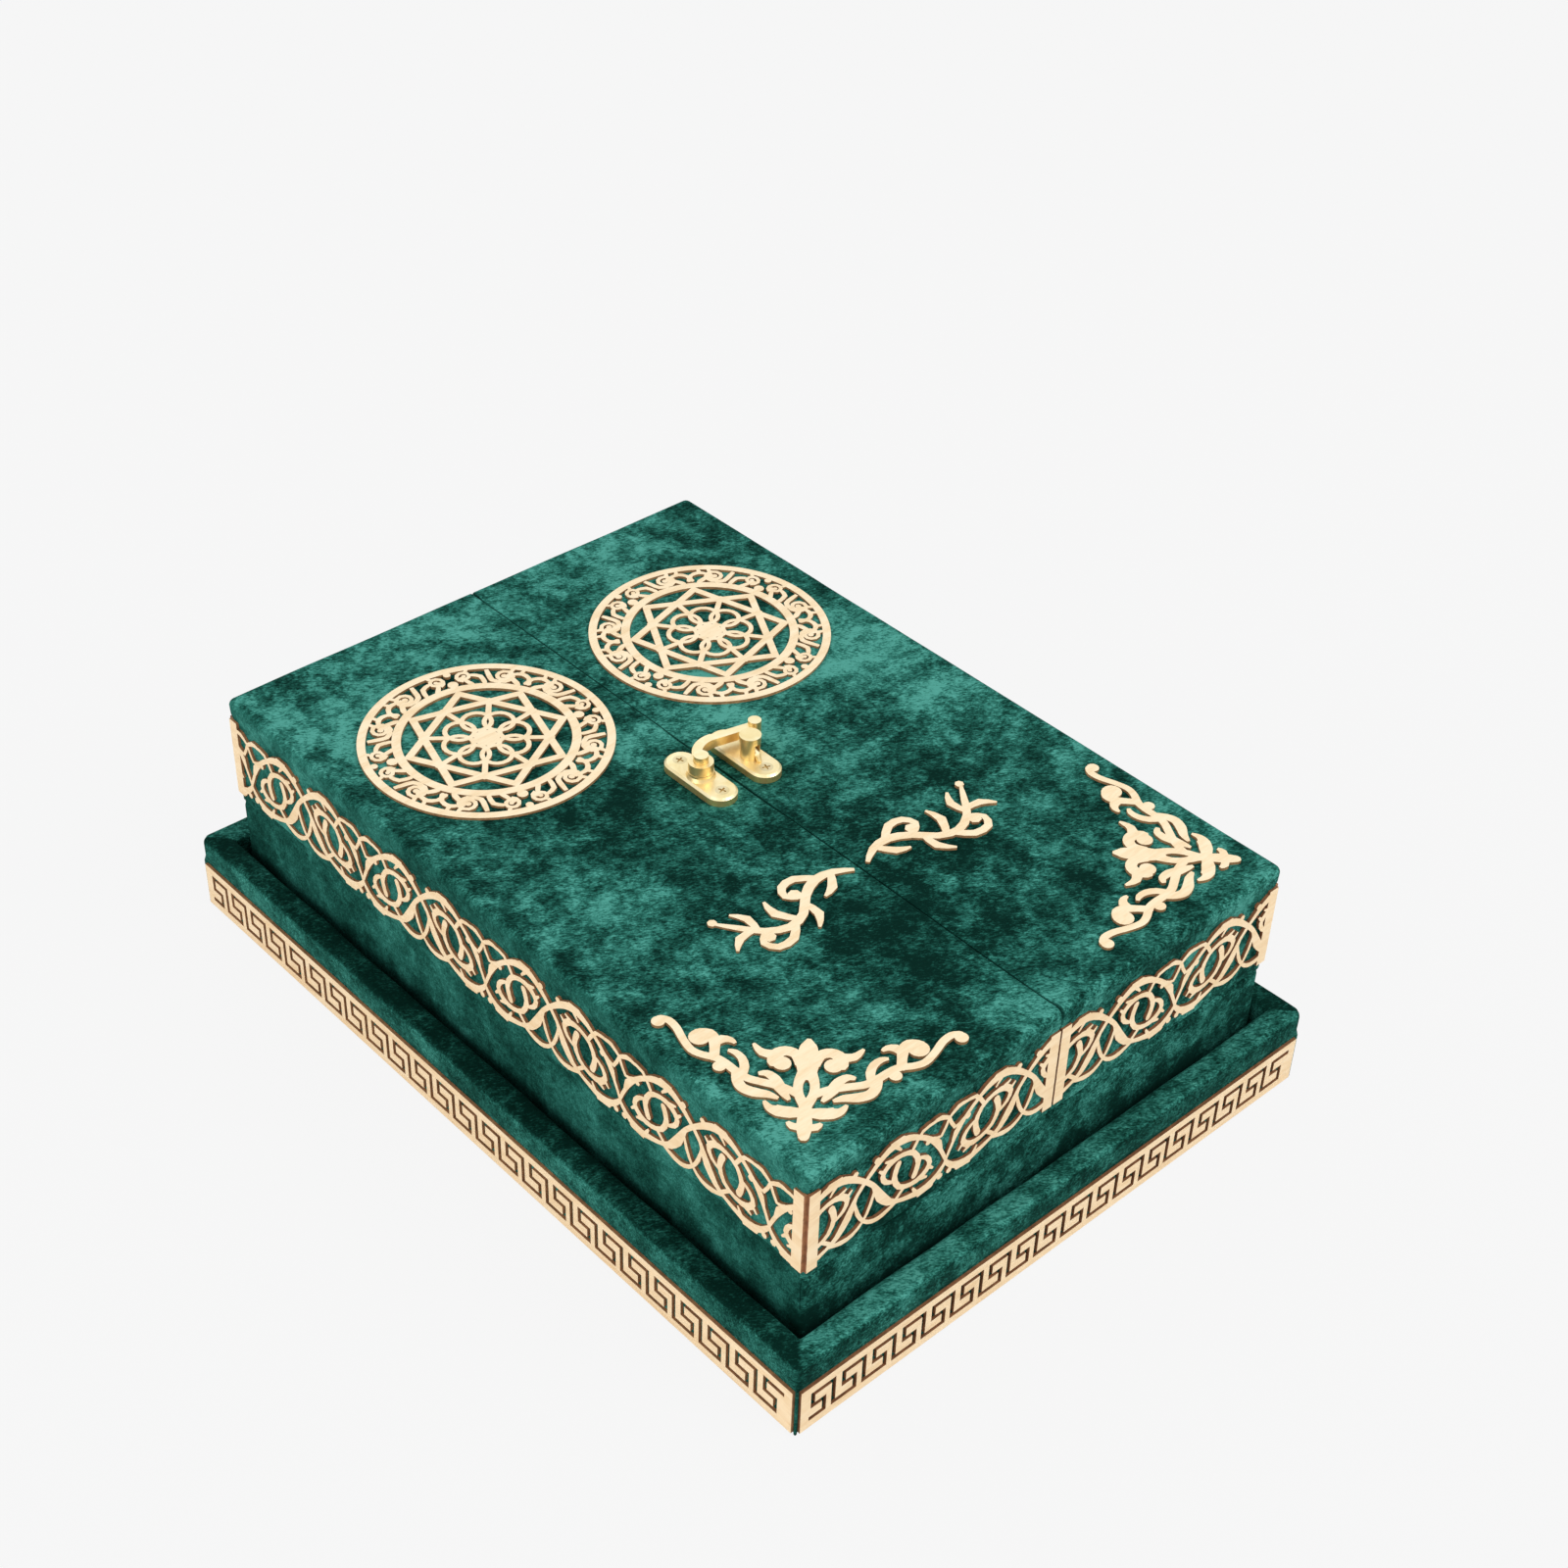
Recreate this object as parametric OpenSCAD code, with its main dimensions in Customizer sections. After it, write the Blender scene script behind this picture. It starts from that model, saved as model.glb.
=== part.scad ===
// Velvet-covered book box on a plinth, with two lid leaves and laser-cut wood trim.
// Frame: origin under the middle of the plinth, X to the right, Y to the rear, Z up.

/* [Box] */
// Width of the box over its velvet
box_w = 197; // [190:0.5:260]
// Length of the box over its velvet
box_l = 280; // [250:0.5:360]
// Height of the lid's top above the table
box_top = 87.5; // [75:0.5:130]
// Height of the line where the lid leaves part from the lower box
parting_z = 45.5; // [38:0.5:55]
// Thickness of the wall boards
wall_t = 6; // [4:0.5:10]
// Thickness of the lid's top boards
panel_t = 6; // [4:0.5:10]
// Thickness of the floor board
floor_t = 5; // [3:0.5:10]

/* [Plinth] */
// Velvet of the plinth beyond the velvet of the box
overhang = 11; // [8:0.5:20]
// Height of the plinth's rim
plinth_h = 28.5; // [24:0.5:40]
// Thickness of the base board
board_t = 12; // [8:0.5:18]
// Width of the raised rim over its velvet
rim_w = 8; // [6:0.5:14]

/* [Cloth] */
// Thickness of the velvet
velvet_t = 1; // [0.6:0.1:2]
// Thickness of the lining
lining_t = 1; // [0.6:0.1:2]
// Radius of a wrapped top edge
edge_r = 2; // [1:0.1:3]
// Height of the cloth hinge below the parting line
hinge_drop = 12; // [6:0.5:16]
// Height of the cloth hinge above the parting line
hinge_rise = 4; // [2:0.5:4.2]

/* [Gaps] */
// Gap between the two leaves at the seam
seam_gap = 0.8; // [0.4:0.1:2]
// Gap between the leaves and the lower box
parting_gap = 0.3; // [0.2:0.1:1]
// Bare velvet between a key strip's end and the plinth's corner
corner_gap = 0.7; // [0.4:0.1:4]
// Radial running gap of the clasp arm on its stud
stud_gap = 0.05; // [0.02:0.01:0.1]
// Height gap under the clasp arm
arm_gap = 0.1; // [0.05:0.05:0.4]

/* [Trim] */
// Thickness of the cut wood trim
trim_t = 1.1; // [0.8:0.1:3]
// Height of the Greek-key strips
key_h = 17.2; // [15:0.1:22]
// Lift of the key strips off the table
key_lift = 0.4; // [0.1:0.1:1]
// Height of the key meander, middle to middle of its slot
key_rise = 9.8; // [8:0.1:12]
// Wished length of one key
key_pitch = 12.1; // [10:0.1:16]
// Width of the meander slot
key_slot = 1.6; // [0.8:0.1:2]
// Plain wood between a strip's end and its slot
key_margin = 2.4; // [1.5:0.1:8]
// Height of the scroll bands
band_h = 30.4; // [28:0.1:34]
// Bare velvet between a band's top and the lid's top
band_drop = 7.1; // [5:0.1:10]
// Width of a band's end post
post_w = 4; // [3:0.1:6]
// Spacing of the ring scrolls along a band
scroll_pitch = 32.15; // [28:0.05:40]
// Outer radius of the medallions
medal_r = 41.6; // [38:0.1:46]
// Radius of the medallions' opening
medal_hole_r = 27.5; // [24:0.1:29]
// Width of the medallions' outer rim
medal_rim = 2.8; // [2:0.1:4]
// Width of the medallions' inner rim
medal_inner_rim = 3; // [2:0.1:5]
// Medallion centre, from the seam
medal_x = 47.6; // [43:0.1:52]
// Medallion centre, from the rear of the box
medal_back = 72; // [50:0.5:85]
// Turn of the medallion pattern
medal_turn = -16.4; // [-45:0.1:45]
// Corner ornament, from the side of the box
corner_inset_x = 6.5; // [4:0.1:12]
// Corner ornament, from the front of the box
corner_inset_y = 9; // [4:0.1:14]
// Reach of a corner ornament along each side
corner_reach = 63.4; // [50:0.1:72]
// Reach of a flourish from the seam
flourish_reach = 54.2; // [45:0.1:62]
// Middle line of the flourishes, from the front of the box
flourish_front = 83; // [70:0.5:95]

/* [Clasp] */
// Length of a clasp plate
plate_l = 30; // [26:0.5:36]
// Width of a clasp plate
plate_w = 11; // [9:0.1:12]
// Thickness of a clasp plate
plate_t = 3; // [2:0.1:4]
// Plate middle, from the seam
plate_x = 9.3; // [8:0.1:12]
// Plate middle, from the middle of the box to the rear
plate_y = 6.8; // [0:0.1:12]
// Spacing of the two screws in a plate
screw_pitch = 20.6; // [16:0.1:22]
// Diameter of a screw head
screw_head_d = 4.6; // [4:0.1:5.5]
// Diameter of a screw shank
screw_d = 2; // [1.5:0.1:2.5]
// Length of a screw under the plate
screw_l = 5; // [3:0.1:6]
// Diameter of the stud that the arm turns on
stud_d = 4.9; // [4:0.1:5.4]
// Diameter of the shoulder under the arm
shoulder_d = 8.6; // [7:0.1:9]
// Height of the shoulder above the plate
shoulder_h = 2; // [1.5:0.1:4]
// Height of the stud above the plate
stud_h = 8; // [7.6:0.1:12]
// Thickness of the arm
arm_t = 3.4; // [2:0.1:4]
// Width of the arm
arm_w = 3.3; // [2:0.1:3.6]
// Diameter of the ring that turns on the stud
arm_ring_d = 8.2; // [7.4:0.1:9]
// Radius of the arm's curve
arm_r = 9.2; // [8.6:0.1:11]
// Knob middle to the right of the seam
knob_x = 16.8; // [16:0.1:18]
// Knob middle behind the plates' middle
knob_y = 3.9; // [3.8:0.1:6]
// Diameter of the knob
knob_d = 4.4; // [3:0.1:4.6]
// Height of the knob
knob_h = 6.8; // [6:0.1:12]
// Height of the knob's foot above the plate
knob_foot = 0.3; // [0.2:0.1:1]
// Diameter of the keeper post
keeper_d = 7.2; // [6:0.1:7.4]
// Height of the keeper post above its plate
keeper_h = 8.4; // [7:0.1:12]
// Set of the keeper post to the front of its plate's middle
keeper_set = 2.4; // [2.3:0.1:3]
// Width of the catch slot in the keeper post
slot_w = 2.2; // [1.6:0.1:2.6]
// Height of the solid cap above the catch slot
cap_h = 2.6; // [2:0.1:4]

/* [Hidden] */

$fn = 48;
velvet_colour = "#0f5a48";
lining_colour = "#14624f";
wood_colour = "#f0d2a8";
board_colour = "#b08a5e";
brass_colour = "#c9a64e";

// Overlap of a cutter past the face that it opens
past = 1;
// Straight steps in a quarter of a wrapped edge
edge_steps = 5;
// Burnt edge that a cut outline is let out by, which also laps neighbouring tiles
burn = 0.05;
// Straight steps between two control points of a stem
stem_steps = 2;
// A stem's end is round where it is wider than this
tip_w = 1.2;
// Turn of a curl in one straight step
volute_step = 38;
// Sides of a bead
bead_sides = 7;
// Weight of the strokes in a band
band_weight = 0.86;
// Bevel round the top of a clasp plate
plate_bevel = 0.7;
// Direction from the stud to the middle of the arm's curve
arm_lean = -10;
// Step down from the arm's curve to its straight bar, and the bar's run into the curve
bar_step = 0.1;
bar_lap = 1;

plinth_w = box_w + 2 * overhang;
plinth_l = box_l + 2 * overhang;
core_w = plinth_w - 2 * velvet_t;
core_l = plinth_l - 2 * velvet_t;
tray_w = plinth_w - 2 * rim_w;
tray_l = plinth_l - 2 * rim_w;
rail_w = rim_w - 2 * velvet_t;
tray_z = board_t + velvet_t;
rail_top = plinth_h - velvet_t;

lower_top = parting_z - parting_gap / 2;
leaf_base = parting_z + parting_gap / 2;
leaf_h = box_top - leaf_base;
leaf_w = (box_w - seam_gap) / 2;
leaf_mid = -(box_w + seam_gap) / 4;
skin = velvet_t + wall_t;
inner_w = box_w - 2 * skin;
inner_l = box_l - 2 * skin;
boards_w = box_w - 2 * velvet_t;
boards_l = box_l - 2 * velvet_t;
ceiling_z = box_top - velvet_t - panel_t;
wall_base = leaf_base + velvet_t;
lower_wall_top = lower_top - velvet_t;

band_z = box_top - band_drop - band_h / 2;
// Middle of the first ring from a side band's rear end, and from a half band's left end
side_band_first = 25.8;
half_band_first = 5;

plate_z = box_top + plate_t;
arm_z = plate_z + shoulder_h + arm_gap;
stud_at = [-plate_x, plate_y];
knob_at = [knob_x, plate_y + knob_y];

// A block on the XY plane, centred on X and Y, with its top edges rounded
function edge_arc(x, z, r, from) = [
    for (k = [0 : edge_steps])
        [x + r * cos(from + 90 * k / edge_steps), z + r * sin(from + 90 * k / edge_steps)]
];

module eased_profile(w, h, r) {
    polygon(concat(
        [[-w / 2, 0], [w / 2, 0]],
        edge_arc(w / 2 - r, h - r, r, 0),
        edge_arc(r - w / 2, h - r, r, 90)
    ));
}

module eased_block(w, l, h, r) {
    intersection() {
        translate([0, l / 2, 0])
            rotate([90, 0, 0])
                linear_extrude(l)
                    eased_profile(w, h, r);
        translate([-w / 2, 0, 0])
            rotate([90, 0, 90])
                linear_extrude(w)
                    eased_profile(l, h, r);
    }
}

// A plain block on the plane z, centred on X and Y
module slab(w, l, z0, z1) {
    translate([-w / 2, -l / 2, z0])
        cube([w, l, z1 - z0]);
}

// A block between two corners
module span(a, b) {
    translate(a)
        cube(b - a);
}

// Mirrors what belongs to the left leaf over to the right one
module on_right() {
    mirror([1, 0, 0])
        children();
}

// Smooth tapered stem through control points [x, y, width]
function between(p, q, r, s, t) =
    0.5 * (2 * q + (r - p) * t + (2 * p - 5 * q + 4 * r - s) * t * t + (3 * q - p - 3 * r + s) * t * t * t);

function stem_points(c, fine) = [
    for (i = [0 : len(c) - 2])
        let (last = len(c) - 1, steps = last > 1 ? fine : 1)
        for (k = [0 : steps - 1])
            let (
                t = k / steps,
                p = between(c[max(i - 1, 0)], c[i], c[i + 1], c[min(i + 2, last)], t)
            )
            [p[0], p[1], c[i][2] + (c[i + 1][2] - c[i][2]) * t],
    c[len(c) - 1]
];

function stem_side(s, i, sign) =
    let (
        a = s[max(i - 1, 0)],
        b = s[min(i + 1, len(s) - 1)],
        d = [b[0] - a[0], b[1] - a[1]],
        half = sign * s[i][2] / 2 / norm(d)
    )
    [s[i][0] - d[1] * half, s[i][1] + d[0] * half];

// A band of varying width along points [x, y, width], blunt where it ends wide
module ribbon(s) {
    last = len(s) - 1;
    polygon([
        for (i = [0 : last]) stem_side(s, i, 1),
        for (i = [last : -1 : 0]) stem_side(s, i, -1)
    ]);
    for (e = [s[0], s[last]])
        if (e[2] > tip_w)
            bead(e[0], e[1], e[2]);
}

module stem(c, fine = stem_steps) {
    ribbon(stem_points(c, fine));
}

module bead(x, y, d) {
    translate([x, y])
        circle(d = d, $fn = bead_sides);
}

// A large round end
module bulb(x, y, d) {
    translate([x, y])
        circle(d = d, $fn = 16);
}

// A curl that winds in from radius r0 to r1 round a ball
module volute(r0, r1, start, turn, w, ball_d) {
    steps = ceil(abs(turn) / volute_step);
    ribbon([
        for (k = [0 : steps])
            let (a = start + turn * k / steps, r = r0 + (r1 - r0) * k / steps)
            [r * cos(a), r * sin(a), w]
    ]);
    bead(0, 0, ball_d);
}

// One drawing, with its outline let out by what the burnt edge adds
module tile() {
    offset(delta = burn)
        children();
}

// Cuts a flat drawing out of a wood sheet
module cut_sheet() {
    linear_extrude(trim_t)
        children();
}

// A stem at the weight of the bands' strokes
module vine(c) {
    stem([for (p = c) [p[0], p[1], p[2] * band_weight]]);
}

// One ring scroll of a band, about its middle; its neighbours are its mirror images.
// It is drawn 32.15 mm long in a band of 30.4 mm
module hook() {
    vine([[-3.4, -4.6, 2.6], [-4.7, 0, 2.4], [-2.6, 5, 2], [2, 7.3, 2], [6.8, 6.9, 2.8], [9.4, 3.8, 2.2],
        [8, 0.5, 1.8], [5.2, -1.3, 1.2]]);
    vine([[6.4, 7.6, 2], [8.8, 8.8, 0.7]]);
    vine([[9, 4.8, 1.8], [11, 6.8, 0.7]]);
}

module ring_scroll() {
    hook();
    rotate(180)
        hook();
    vine([[-16.2, -7.2, 1.3], [-13, 0, 1.5], [-9.2, 5.8, 1.9], [-3.6, 10.4, 2], [0.6, 12.6, 3], [5.2, 13.3, 3.6],
        [9.8, 11.5, 2.8], [14.7, 7.6, 2], [19.2, 2.8, 1.8], [22.6, -3.6, 3], [27.4, -10, 1.8]]);
    vine([[2.4, 13.8, 2.6], [7, 14.4, 0.8]]);
    vine([[4.6, 12, 1.6], [2.6, 9.6, 0.7]]);
    vine([[-16.2, -7.4, 1.4], [-13.4, -10.8, 2.4], [-8.4, -13.2, 3.6], [-3, -12.4, 2.4], [2, -10.9, 1.7],
        [6.2, -8.6, 2.8], [10, -4.2, 3], [12.9, 1.4, 0.7]]);
    vine([[-10.8, -13.6, 2], [-5.4, -14.6, 0.8]]);
    vine([[-4.4, -12, 1.8], [-3.2, -9.6, 0.7]]);
    vine([[12.4, 0, 1], [13.6, -4.6, 1.6], [16.2, -9.4, 1.3], [20, -12, 1.9], [24, -12.2, 2.2], [29, -10.6, 1.3]]);
    vine([[-9.6, 5.4, 2.2], [-12.4, 2, 3], [-14, -2.6, 0.8]]);
    vine([[-10.6, 11.9, 1.3], [-5.6, 11.4, 1.6], [-2, 6.4, 1.5]]);
    vine([[-16.1, 9.8, 1.3], [-12.6, 12, 2], [-9.8, 12, 1.4]]);
    vine([[-16.1, 9.8, 1.3], [-13.4, 4.4, 1.4], [-9.8, 5.6, 1.6]]);
    vine([[0.4, -6.6, 1.5], [4, -10, 1.5]]);
    bead(12, 11.8, 2.2);
    bead(7.4, -6.6, 2.2);
    bead(-14.2, -12.4, 2.2);
    bead(-8.2, 5.4, 2.2);
}

// A band drawing from x = 0 to length, one tile a ring; first is the middle of one of its rings
module scroll_band(length, first, posts) {
    before = ceil(first / scroll_pitch);
    after = ceil((length - first) / scroll_pitch);
    for (i = [-before : after])
        let (
            low = max(0, first + (i - 0.5) * scroll_pitch),
            high = min(length, first + (i + 0.5) * scroll_pitch)
        )
        if (high - low > post_w)
            tile()
                intersection() {
                    translate([low, burn - band_h / 2])
                        square([high - low, band_h - 2 * burn]);
                    for (k = [i - 1 : i + 1])
                        translate([first + k * scroll_pitch, 0])
                            mirror([(k + 2 * before) % 2, 0])
                                scale([scroll_pitch / 32.15, band_h / 30.4])
                                    ring_scroll();
                }
    for (x = posts)
        translate([x, -band_h / 2])
            square([post_w, band_h]);
}

// Greek key: the middle line of one continuous slot along a strip
function key_path(n, pitch, lead, tail) = [
    [-lead * pitch, -key_rise / 2], [0.37 * pitch, -key_rise / 2], [0.37 * pitch, 0], [0, 0],
    for (i = [0 : n - 1])
        each [
            [i * pitch, key_rise / 2], [(i + 0.67) * pitch, key_rise / 2],
            [(i + 0.67) * pitch, -key_rise / 2], [(i + 1.37) * pitch, -key_rise / 2],
            [(i + 1.37) * pitch, 0], [(i + 1) * pitch, 0]
        ],
    [n * pitch, key_rise / 2], [(n + tail) * pitch, key_rise / 2]
];

function left_of(a, b) = [a[1] - b[1], b[0] - a[0]] / norm(b - a);

function slot_corner(p, i, sign) =
    let (
        last = len(p) - 1,
        before = i > 0 ? left_of(p[i - 1], p[i]) : [0, 0],
        after = i < last ? left_of(p[i], p[i + 1]) : [0, 0],
        turn = before == after ? before : before + after
    )
    p[i] + sign * key_slot / 2 * turn;

module key_strip(length) {
    // Lead-in before the first key and top run of the last key, in pitches
    lead = 0.12;
    tail = 0.67;
    usable = length - 2 * key_margin - key_slot;
    n = round(usable / key_pitch + 1 - lead - tail);
    pitch = usable / (n - 1 + lead + tail);
    p = key_path(n - 1, pitch, lead, tail);
    last = len(p) - 1;
    linear_extrude(trim_t)
        difference() {
            translate([-length / 2, -key_h / 2])
                square([length, key_h]);
            translate([-usable / 2 + lead * pitch, 0])
                polygon([
                    for (i = [0 : last]) slot_corner(p, i, 1),
                    for (i = [last : -1 : 0]) slot_corner(p, i, -1)
                ]);
        }
}

// Stands a strip drawing up on a side: turn 0 faces the front
module on_side(turn, reach, z) {
    rotate([0, 0, turn])
        translate([0, -reach, z])
            rotate([90, 0, 0])
                children();
}

// A quarter of the medallions' scrolls, drawn for a gap of 7.9 mm between the rims
module medal_quarter() {
    low_r = medal_hole_r + medal_inner_rim;
    high_r = medal_r - medal_rim;
    mid_r = (low_r + high_r) / 2;
    fit = (high_r - low_r) / 7.9;
    for (side = [0, 1])
        mirror([0, side]) {
            rotate(30)
                translate([mid_r, 0])
                    scale(fit) {
                        volute(3.3, 1.5, 200, -500, 1.3, 2);
                        stem([[-3.2, -0.8, 1.5], [-2.6, -3.4, 1.7], [0.2, -5, 1.6], [2.8, -6.2, 1.2]]);
                        stem([[2.6, 1.8, 1.4], [4.4, 2.6, 1]]);
                        stem([[-1.4, 3, 1.6], [-3.4, 4.6, 1.8], [-4.6, 5.4, 0.9]]);
                        stem([[1.2, 3, 1.3], [1.6, 5.6, 1.7], [-0.4, 8, 1.4], [-3.6, 8.4, 1.5]]);
                        stem([[1.4, 5, 1.4], [4.4, 6.2, 0.9]]);
                    }
            rotate(7.9)
                translate([mid_r + 0.7 * fit, 0])
                    scale(fit) {
                        volute(2.6, 1.2, 190, 430, 1.2, 1.5);
                        stem([[-2.6, 0.4, 1.4], [-4.9, 1.8, 1.6]]);
                        stem([[2.4, 1, 1.2], [3.8, 1.6, 1]]);
                        stem([[0.2, 2.6, 1.3], [-1.2, 5.2, 1.6], [-4.8, 5.8, 1.4]]);
                    }
        }
    translate([mid_r - 2.6 * fit, 0])
        circle(d = 3.4 * fit, $fn = 12);
    translate([mid_r + 3.2 * fit, 0])
        circle(d = 2.4 * fit, $fn = 10);
}

// Eight-pointed star of two crossed squares round a small open flower
module star_rosette(r) {
    bar = 2.4;
    side = r * sqrt(2);
    petal_r = r * 0.2;
    for (turn = [0, 45])
        rotate(turn)
            difference() {
                square(side, center = true);
                square(side - 2 * bar, center = true);
            }
    for (turn = [0 : 45 : 315])
        rotate(turn)
            translate([r * 0.34, 0])
                difference() {
                    circle(petal_r, $fn = 20);
                    circle(petal_r - 1.5, $fn = 16);
                }
    for (turn = [22.5 : 45 : 337.5])
        rotate(turn)
            stem([[r * 0.4, 0, 1.8], [r * 0.75, 0, 1.8]]);
    circle(r * 0.15, $fn = 20);
}

module medal_drawing() {
    scroll_r = medal_hole_r + medal_inner_rim;
    difference() {
        circle(medal_r);
        circle(medal_r - medal_rim);
    }
    difference() {
        circle(scroll_r);
        circle(medal_hole_r);
    }
    for (turn = [0 : 90 : 270])
        rotate(turn)
            tile()
                medal_quarter();
    tile()
        star_rosette(medal_hole_r + 0.6);
}

module medallion_left() {
    color(wood_colour)
        translate([-medal_x, box_l / 2 - medal_back, box_top])
            rotate(medal_turn)
                cut_sheet()
                    medal_drawing();
}

module medallion_right() {
    on_right()
        medallion_left();
}

// Half of a corner ornament, below its diagonal, from the corner along the front, drawn 63.4 mm long
module corner_half() {
    stem([[1.6, 1.6, 3], [4.4, 4.4, 4.4], [8, 8, 3.6], [10.8, 10.8, 3.4]]);
    stem([[10.4, 9.8, 3], [14.2, 11.4, 2.6], [17.4, 14.2, 2.6], [19.4, 17.8, 3.4]], 3);
    stem([[18.4, 18, 4], [21.6, 21.2, 6], [24.6, 24.4, 5.4], [26.2, 26, 4.6], [28.4, 28.4, 1]]);
    stem([[25, 23.8, 2], [27, 24.6, 1.8], [28, 26, 0.8]]);
    stem([[8.4, 7.6, 2.8], [10.8, 5, 4.2], [13.4, 2.9, 4], [15.8, 2, 2.4], [18.6, 2.6, 0.8]], 3);
    stem([[12.6, 4.6, 2.2], [15, 4, 0.7]]);
    stem([[4.6, 3.4, 2.4], [6.6, 2, 2.4], [8.6, 2.1, 1]]);
    stem([[14, 11.4, 2.6], [17.4, 10.6, 2.6], [20.8, 9.2, 2.8], [24.4, 7, 2.6], [28, 5, 2.6], [32, 4.4, 2.6],
        [36.4, 4.3, 2.6], [40, 3.6, 2.6], [43, 1.7, 2.4], [46.6, 0.6, 2.3], [51.4, 1.6, 2.2], [56, 3.2, 2.3],
        [59.8, 3.5, 2.4], [62, 2.2, 2.4]], 3);
    stem([[14.4, 8, 1], [17, 8.6, 2.4], [20, 9, 2.6]]);
    stem([[19.6, 9.8, 2.6], [23, 10.6, 3], [26, 10.3, 2.4], [27.4, 8.5, 1.2]], 3);
    stem([[16.8, 6.2, 1], [19.8, 5, 2.6], [22.8, 2.8, 3.4], [26.2, 1.5, 3.2], [29.4, 2.4, 3], [32.2, 4.6, 2.6]], 3);
    stem([[30, 4.8, 2.4], [32, 7.4, 2.6], [35, 9.1, 2.4], [38, 9.2, 2], [39.8, 8.2, 1]]);
    stem([[40.2, 3.4, 2.8], [42.8, 5.9, 2.8], [45.4, 8, 3.4], [48.2, 8.4, 4], [50.4, 6.6, 3.4]], 3);
    stem([[44.4, 7.4, 2.8], [44.2, 10, 3], [42.4, 11.5, 2], [40.6, 11.6, 0.9]]);
    stem([[22.4, 20, 3.6], [26.2, 21.5, 3.4], [29.2, 20.2, 3.6], [29.9, 17.2, 4], [28, 14.9, 4]], 3);
    stem([[29.6, 17.4, 3.6], [33, 14.9, 2.8], [37.2, 15.4, 0.8]], 3);
    bulb(61.4, 1, 4);
    bulb(36.6, 2.2, 3.8);
    bulb(49, 5.6, 6.2);
    bulb(26.2, 16.1, 5.2);
}

module corner_drawing() {
    tile()
        scale(corner_reach / 63.4) {
            corner_half();
            mirror([1, -1])
                corner_half();
        }
}

module corner_ornament_left() {
    color(wood_colour)
        translate([corner_inset_x - box_w / 2, corner_inset_y - box_l / 2, box_top])
            cut_sheet()
                corner_drawing();
}

module corner_ornament_right() {
    on_right()
        corner_ornament_left();
}

// A leafy scroll from the seam outward, one on each leaf, drawn 54.2 mm long
module flourish_drawing() {
    tile()
        scale(flourish_reach / 54.2) {
            stem([[2.4, 0, 1.2], [8, 3.4, 2.6], [15, 4.2, 3.4], [22, 0.6, 3], [28, -5, 2.8], [35, -7, 3],
                [42, -3.6, 2.6], [47, 2.4, 2.2], [51.4, 8.4, 1]]);
            stem([[14, 4.4, 2.4], [19.6, 8.6, 2.8], [25, 8, 2.6], [27, 4.2, 2.2], [24.4, 1.6, 2]]);
            stem([[33, -7, 2.4], [37.6, -11.4, 2.8], [43.6, -11.4, 2.6], [45.8, -7.4, 2.2], [43.4, -4.8, 2]]);
            stem([[9, 3.6, 2], [13, -1.6, 3], [17.6, -3.4, 0.8]]);
            stem([[24.6, -2, 2], [24.4, -8, 3], [28.4, -12.6, 0.8]]);
            stem([[30.6, -6, 2], [34.6, 0.4, 3.2], [33.6, 6.4, 0.8]]);
            stem([[44.6, -1, 2], [50, -1.4, 2.8], [54, -5, 0.8]]);
            stem([[43.4, -1.8, 2], [42.4, 4, 2.8], [45.4, 8.6, 0.8]]);
            bead(24.2, 3, 4.4);
            bead(42.8, -6.2, 4.4);
            bead(51.6, 9.2, 3);
        }
}

module flourish_left() {
    color(wood_colour)
        translate([-seam_gap / 2, flourish_front - box_l / 2, box_top])
            cut_sheet()
                mirror([1, 0])
                    flourish_drawing();
}

module flourish_right() {
    on_right()
        flourish_left();
}

// Plinth
module plinth_board() {
    color(board_colour)
        slab(core_w, core_l, 0, board_t);
}

module cross_rail() {
    color(board_colour)
        span(
            [-core_w / 2 + rail_w, -core_l / 2, board_t],
            [core_w / 2 - rail_w, rail_w - core_l / 2, rail_top]
        );
}

module long_rail() {
    color(board_colour)
        span(
            [-core_w / 2, -core_l / 2, board_t],
            [rail_w - core_w / 2, core_l / 2, rail_top]
        );
}

module plinth_rail_front() {
    cross_rail();
}

module plinth_rail_rear() {
    mirror([0, 1, 0])
        cross_rail();
}

module plinth_rail_left() {
    long_rail();
}

module plinth_rail_right() {
    on_right()
        long_rail();
}

module plinth_velvet() {
    rail_inner_w = core_w - 2 * rail_w;
    rail_inner_l = core_l - 2 * rail_w;
    color(velvet_colour)
        difference() {
            eased_block(plinth_w, plinth_l, plinth_h, edge_r);
            slab(tray_w, tray_l, tray_z, plinth_h + past);
            slab(core_w, core_l, -past, board_t);
            difference() {
                slab(core_w, core_l, board_t - past, rail_top);
                slab(rail_inner_w, rail_inner_l, board_t - 2 * past, rail_top + past);
            }
        }
}

module front_key_strip() {
    color(wood_colour)
        on_side(0, plinth_l / 2, key_lift + key_h / 2)
            key_strip(plinth_w - 2 * corner_gap);
}

module side_key_strip() {
    color(wood_colour)
        on_side(-90, plinth_w / 2, key_lift + key_h / 2)
            key_strip(plinth_l - 2 * corner_gap);
}

module key_strip_front() {
    front_key_strip();
}

module key_strip_rear() {
    rotate(180)
        front_key_strip();
}

module key_strip_left() {
    side_key_strip();
}

module key_strip_right() {
    rotate(180)
        side_key_strip();
}

// Lower box
module box_floor() {
    color(board_colour)
        slab(inner_w, inner_l, tray_z, tray_z + floor_t);
}

module cross_wall(z0, z1) {
    color(board_colour)
        span([-inner_w / 2, -boards_l / 2, z0], [inner_w / 2, -inner_l / 2, z1]);
}

module long_wall(z0, z1) {
    color(board_colour)
        span([-boards_w / 2, -boards_l / 2, z0], [-inner_w / 2, boards_l / 2, z1]);
}

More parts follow.
